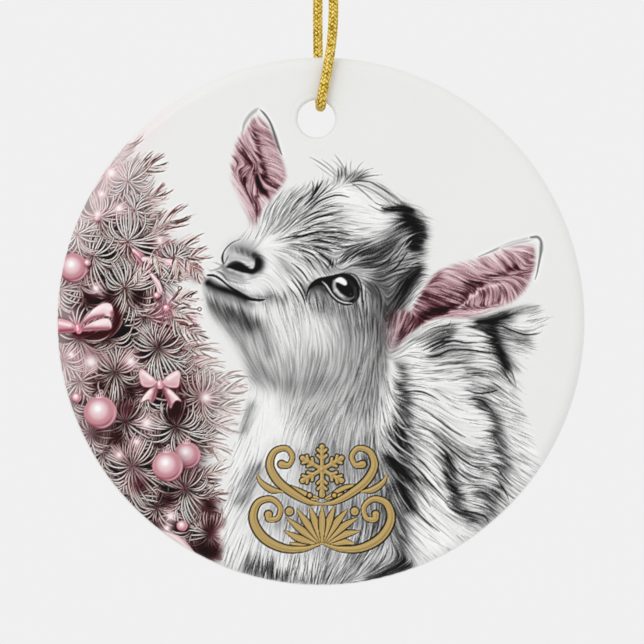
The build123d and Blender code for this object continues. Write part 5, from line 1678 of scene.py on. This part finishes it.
def leaf(canvas, foot, lean, length, half):
    """A pointed leaf with its own dark line, bowed away from the upright."""
    ux, uz = math.sin(math.radians(lean)), math.cos(math.radians(lean))
    bow = 0.0008 * length * lean
    path = [(foot[0] + 0.5 * ux, foot[1] + 0.5 * uz, 0.35),
            (foot[0] + 0.62 * length * ux - bow * uz, foot[1] + 0.62 * length * uz + bow * abs(ux), 1.0),
            (foot[0] + length * ux, foot[1] + length * uz, 0.25)]
    pen(canvas, path, half + 0.16, GOLD_LINE, 0.95, 0.07)
    pen(canvas, path, half, GOLD_FILL, 1.0, 0.06)
    pen(canvas, path, 0.22 * half, GOLD_LIGHT, 0.5, 0.10)


def flourish(canvas):
    """Gold scrolls and a snowflake on the chest, outlined in dark brown."""
    strokes = []
    for path in SCROLLS:
        strokes.append((0.42, path))
        strokes.append((0.42, [(2 * MIDDLE - p[0], *p[1:]) for p in path]))
    for x, z, r in BUDS:
        strokes.append((r, [(x, z)]))
    for k in range(6):
        way = math.radians(30 + 60 * k)
        end = away(*FLAKE, way, FLAKE_REACH)
        strokes.append((0.27, [FLAKE, end]))
        strokes.append((0.36, [end]))
        for share, arm in ((0.45, 0.8), (0.72, 0.75)):
            for turn in (0.85, -0.85):
                root = away(*FLAKE, way, share * FLAKE_REACH)
                strokes.append((0.2, [root, away(*root, way + turn, arm)]))
    strokes.append((0.62, [FLAKE]))
    for r, path in strokes:
        airbrush(canvas, [p[:2] for p in path], 2.2 * r + 0.5, 0.50, 0.2)
    for foot, leaves, half in ((SPRAY, SPRIGS, 0.30), (PALM, LEAVES, 0.44)):
        for lean, length in leaves:
            for way in sorted({lean, -lean}):
                leaf(canvas, foot, way, length, half)
    for r, path in strokes:
        pen(canvas, path, r + 0.17, GOLD_LINE, 0.95, 0.07)
    for r, path in strokes:
        pen(canvas, path, r, GOLD_FILL, 1.0, 0.06)
    for r, path in strokes:
        pen(canvas, [(p[0] + 0.10, p[1] - 0.12, *p[2:]) for p in path], 0.30 * r, GOLD_DEEP, 0.35, 0.12)
        pen(canvas, [(p[0] - 0.08, p[1] + 0.10, *p[2:]) for p in path], 0.32 * r, GOLD_LIGHT, 0.45, 0.12)


COAT_TINT = (1.0, 1.002, 0.996)
DEEPEN = 0.065
CRISPNESS = 0.8
CRISP_RADIUS = 0.13


def picture():
    """The whole printed picture, as display colours."""
    canvas = np.ones((SIZE, SIZE, 3), np.float32) * GLAZE.astype(np.float32)
    tree(canvas)
    ear(canvas, LEFT_EAR, LEFT_EAR_COMB, LEFT_EAR_SHADE, LEFT_EAR_LINE, 31, [(-9.2, 12.8)], 1.0)
    tone, edge = kid()
    coat = tone[..., None] * np.array(COAT_TINT, np.float32)
    canvas += (coat - canvas) * edge[..., None]
    wisps(canvas)
    muzzle(canvas)
    eye(canvas)
    ear(canvas, RIGHT_EAR, RIGHT_EAR_COMB, RIGHT_EAR_SHADE, RIGHT_EAR_LINE, 41,
        [(9.4, 1.6), (9.4, -1), (9.8, -3.6)], 1.8)
    flourish(canvas)
    return printed(canvas)


def printed(canvas):
    """What the press makes of the picture: deeper darks and crisp strands."""
    canvas = canvas - DEEPEN * (1 - smooth(canvas.mean(axis=2, keepdims=True), 0.3, 0.6))
    for k in range(3):
        layer = canvas[..., k]
        canvas[..., k] += CRISPNESS * (layer - blur(layer, CRISP_RADIUS))
    return np.clip(canvas, 0, 1)


# ---------------------------------------------------------------------------
# Printed face

# The disc's front: a flat, and a rounded rim that the coating follows down to the angle WRAP.
FLAT_RADIUS = 34.8
RIM_RADIUS = 1.7
COAT = 0.06
WRAP = math.radians(62)
HOLE_X, HOLE_Z = -0.58, 28.0
HOLE_EDGE = 3.45
OUTER_EDGE = FLAT_RADIUS + (RIM_RADIUS + COAT) * math.sin(WRAP)
# At its edges the coating thins out over EDGE_TAPER and ends EDGE_SINK inside the porcelain.
EDGE_TAPER = 0.3
EDGE_SINK = 0.01

# The face is split into squares of CELL, doubled up to LEVELS times where the picture is even.
# CHANGE is how much the picture may change across a square of each larger size. Close to the
# edges and the rim squares stay small.
CELL = 0.11
LEVELS = 5
CHANGE = (0.05, 0.035, 0.025, 0.02)
FINE_BAND = 0.3
EDGE_HALVINGS = 30

# Name of each sheet, and from where to where it goes in x.
SHEETS = (("print_left", -40, -12), ("print_middle", -12, 5.5), ("print_right", 5.5, 40))

# What the glaze reflects of the room, in linear light. It is taken off the picture's colours.
SHEEN = 0.0095
BRIGHTEST = 1.15


def within(x, z):
    """How far inside the coating's two edges a place is; less than 0 outside it."""
    return np.minimum(OUTER_EDGE - np.hypot(x, z), np.hypot(x - HOLE_X, z - HOLE_Z) - HOLE_EDGE)


def face_depth(x, z):
    """Height of the coating in front of the disc's flat face, in millimetres."""
    r = np.hypot(x, z)
    coat = (COAT + EDGE_SINK) * smooth(within(x, z), 0.0, EDGE_TAPER) - EDGE_SINK
    reach = RIM_RADIUS + coat
    fall = np.clip((r - FLAT_RADIUS) / reach, 0, 0.999)
    return np.where(r > FLAT_RADIUS, reach * np.sqrt(1 - fall ** 2) - RIM_RADIUS, coat)


def split_squares(picture, axis):
    """Says, for each level above the smallest squares, which squares have to be split."""
    colour = sample(picture, *np.meshgrid(axis, axis))
    corners = [colour[:-1, :-1], colour[1:, :-1], colour[:-1, 1:], colour[1:, 1:]]
    low, high = np.minimum.reduce(corners), np.maximum.reduce(corners)
    middle = axis[:-1] + CELL / 2
    mx, mz = np.meshgrid(middle, middle)
    edge = np.abs(within(mx, mz))
    rim = np.hypot(mx, mz) > FLAT_RADIUS - FINE_BAND
    split = [None]
    for level in range(1, LEVELS):
        n = (len(axis) - 1) // 2 ** level
        fold = (n, 2 ** level, n, 2 ** level)
        span = high.reshape(*fold, 3).max(axis=(1, 3)) - low.reshape(*fold, 3).min(axis=(1, 3))
        wanted = span.max(axis=-1) > CHANGE[level - 1]
        if level > 1:
            wanted |= edge.reshape(fold).min(axis=(1, 3)) < FINE_BAND
            wanted |= rim.reshape(fold).any(axis=(1, 3))
            # neighbours differ by one level at most
            below = split[-1]
            ring = np.pad(below, 1)
            ring = below | ring[:-2, 1:-1] | ring[2:, 1:-1] | ring[1:-1, :-2] | ring[1:-1, 2:]
            wanted |= ring.reshape(n, 2, n, 2).any(axis=(1, 3))
        split.append(wanted)
    return split


def face_lattice(picture):
    """Splits the face into squares, small where the picture changes, and cuts them to the coating.

    Gives the plan places of the vertices and the faces."""
    blocks = int(math.ceil(OUTER_EDGE / (CELL * 2 ** (LEVELS - 1))))
    cells = blocks * 2 ** LEVELS
    axis = -cells * CELL / 2 + CELL * np.arange(cells + 1)
    split = split_squares(picture, axis)
    inner = within(*np.meshgrid(axis, axis)) > 0
    keys, places, faces = {}, [], []

    def vertex(i, j):
        if (i, j) not in keys:
            keys[i, j] = len(places)
            places.append((axis[i], axis[j]))
        return keys[i, j]

    def crossing(a, b):
        """Where the edge from a, inside, to b, outside, leaves the coating."""
        if (a, b) not in keys:
            near_end, far_end = 0.0, 1.0
            pa, pb = (np.array([axis[i], axis[j]]) for i, j in (a, b))
            for _ in range(EDGE_HALVINGS):
                t = (near_end + far_end) / 2
                if within(*(pa + (pb - pa) * t)) > 0:
                    near_end = t
                else:
                    far_end = t
            keys[a, b] = len(places)
            places.append(tuple(pa + (pb - pa) * near_end))
        return keys[a, b]

    for level in range(LEVELS):
        size = 2 ** level
        n = cells // size
        kept = np.ones((n, n), bool)
        if level:
            kept &= ~split[level]
            fine = np.pad(split[level], 1)
        if level < LEVELS - 1:
            kept &= np.repeat(np.repeat(split[level + 1], 2, axis=0), 2, axis=1)
        for row, column in zip(*np.nonzero(kept)):
            i, j = int(column) * size, int(row) * size
            ring = [(i, j), (i + size, j), (i + size, j + size), (i, j + size)]
            if level:
                # a side takes a middle point where the square beside it is split
                h = size // 2
                halved = (fine[row, column + 1], fine[row + 1, column + 2],
                          fine[row + 2, column + 1], fine[row + 1, column])
                halves = [(i + h, j), (i + size, j + h), (i + h, j + size), (i, j + h)]
                ring = [p for k in range(4) for p in ([ring[k], halves[k]] if halved[k] else [ring[k]])]
            held = [inner[q, p] for p, q in ring]
            if all(held):
                faces.append([vertex(*p) for p in ring])
                continue
            cut = []
            for k, p in enumerate(ring):
                after = (k + 1) % len(ring)
                if held[k]:
                    cut.append(vertex(*p))
                if held[k] != held[after]:
                    cut.append(crossing(p, ring[after]) if held[k] else crossing(ring[after], p))
            if len(cut) > 2:
                faces.append(cut)
    return np.array(places), faces


def display_to_linear(c):
    return np.where(c <= 0.04045, c / 12.92, ((c + 0.055) / 1.055) ** 2.4)


def make_print(picture):
    """The printed coating, as three sheets side by side that share their edges."""
    glaze = glaze_material("printed_glaze", "picture")
    white = display_to_linear(GLAZE)
    places, faces = face_lattice(picture)
    centres = np.array([places[f].mean(axis=0)[0] for f in faces])
    for name, west, east in SHEETS:
        part = [faces[k] for k in np.nonzero((centres >= west) & (centres < east))[0]]
        used = sorted({v for f in part for v in f})
        new = {v: k for k, v in enumerate(used)}
        x, z = places[used].T
        vertices = np.stack([DISC_CENTRE.x + x * MM, DISC_LOW.y - face_depth(x, z) * MM,
                             DISC_CENTRE.z + z * MM], axis=1)
        sheet = mesh_piece(name, vertices, [tuple(new[v] for v in f) for f in part], glaze)
        shown = display_to_linear(np.clip(sample(picture, x, z), 0, 1))
        shown = np.clip((shown - SHEEN) / (white - SHEEN), 0, BRIGHTEST)
        layer = sheet.data.attributes.new("picture", "FLOAT_COLOR", "POINT")
        layer.data.foreach_set("color", np.concatenate(
            [shown, np.ones((len(shown), 1))], axis=1).astype(np.float32).ravel())
        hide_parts("printed_coating")
        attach(sheet, "ornament")


# ---------------------------------------------------------------------------

make_camera()
make_cord()
make_world()
make_floor()
make_key_light()
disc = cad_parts["porcelain_disc"]
disc.data.materials.clear()
disc.data.materials.append(glaze_material("white_glaze"))
make_print(picture())
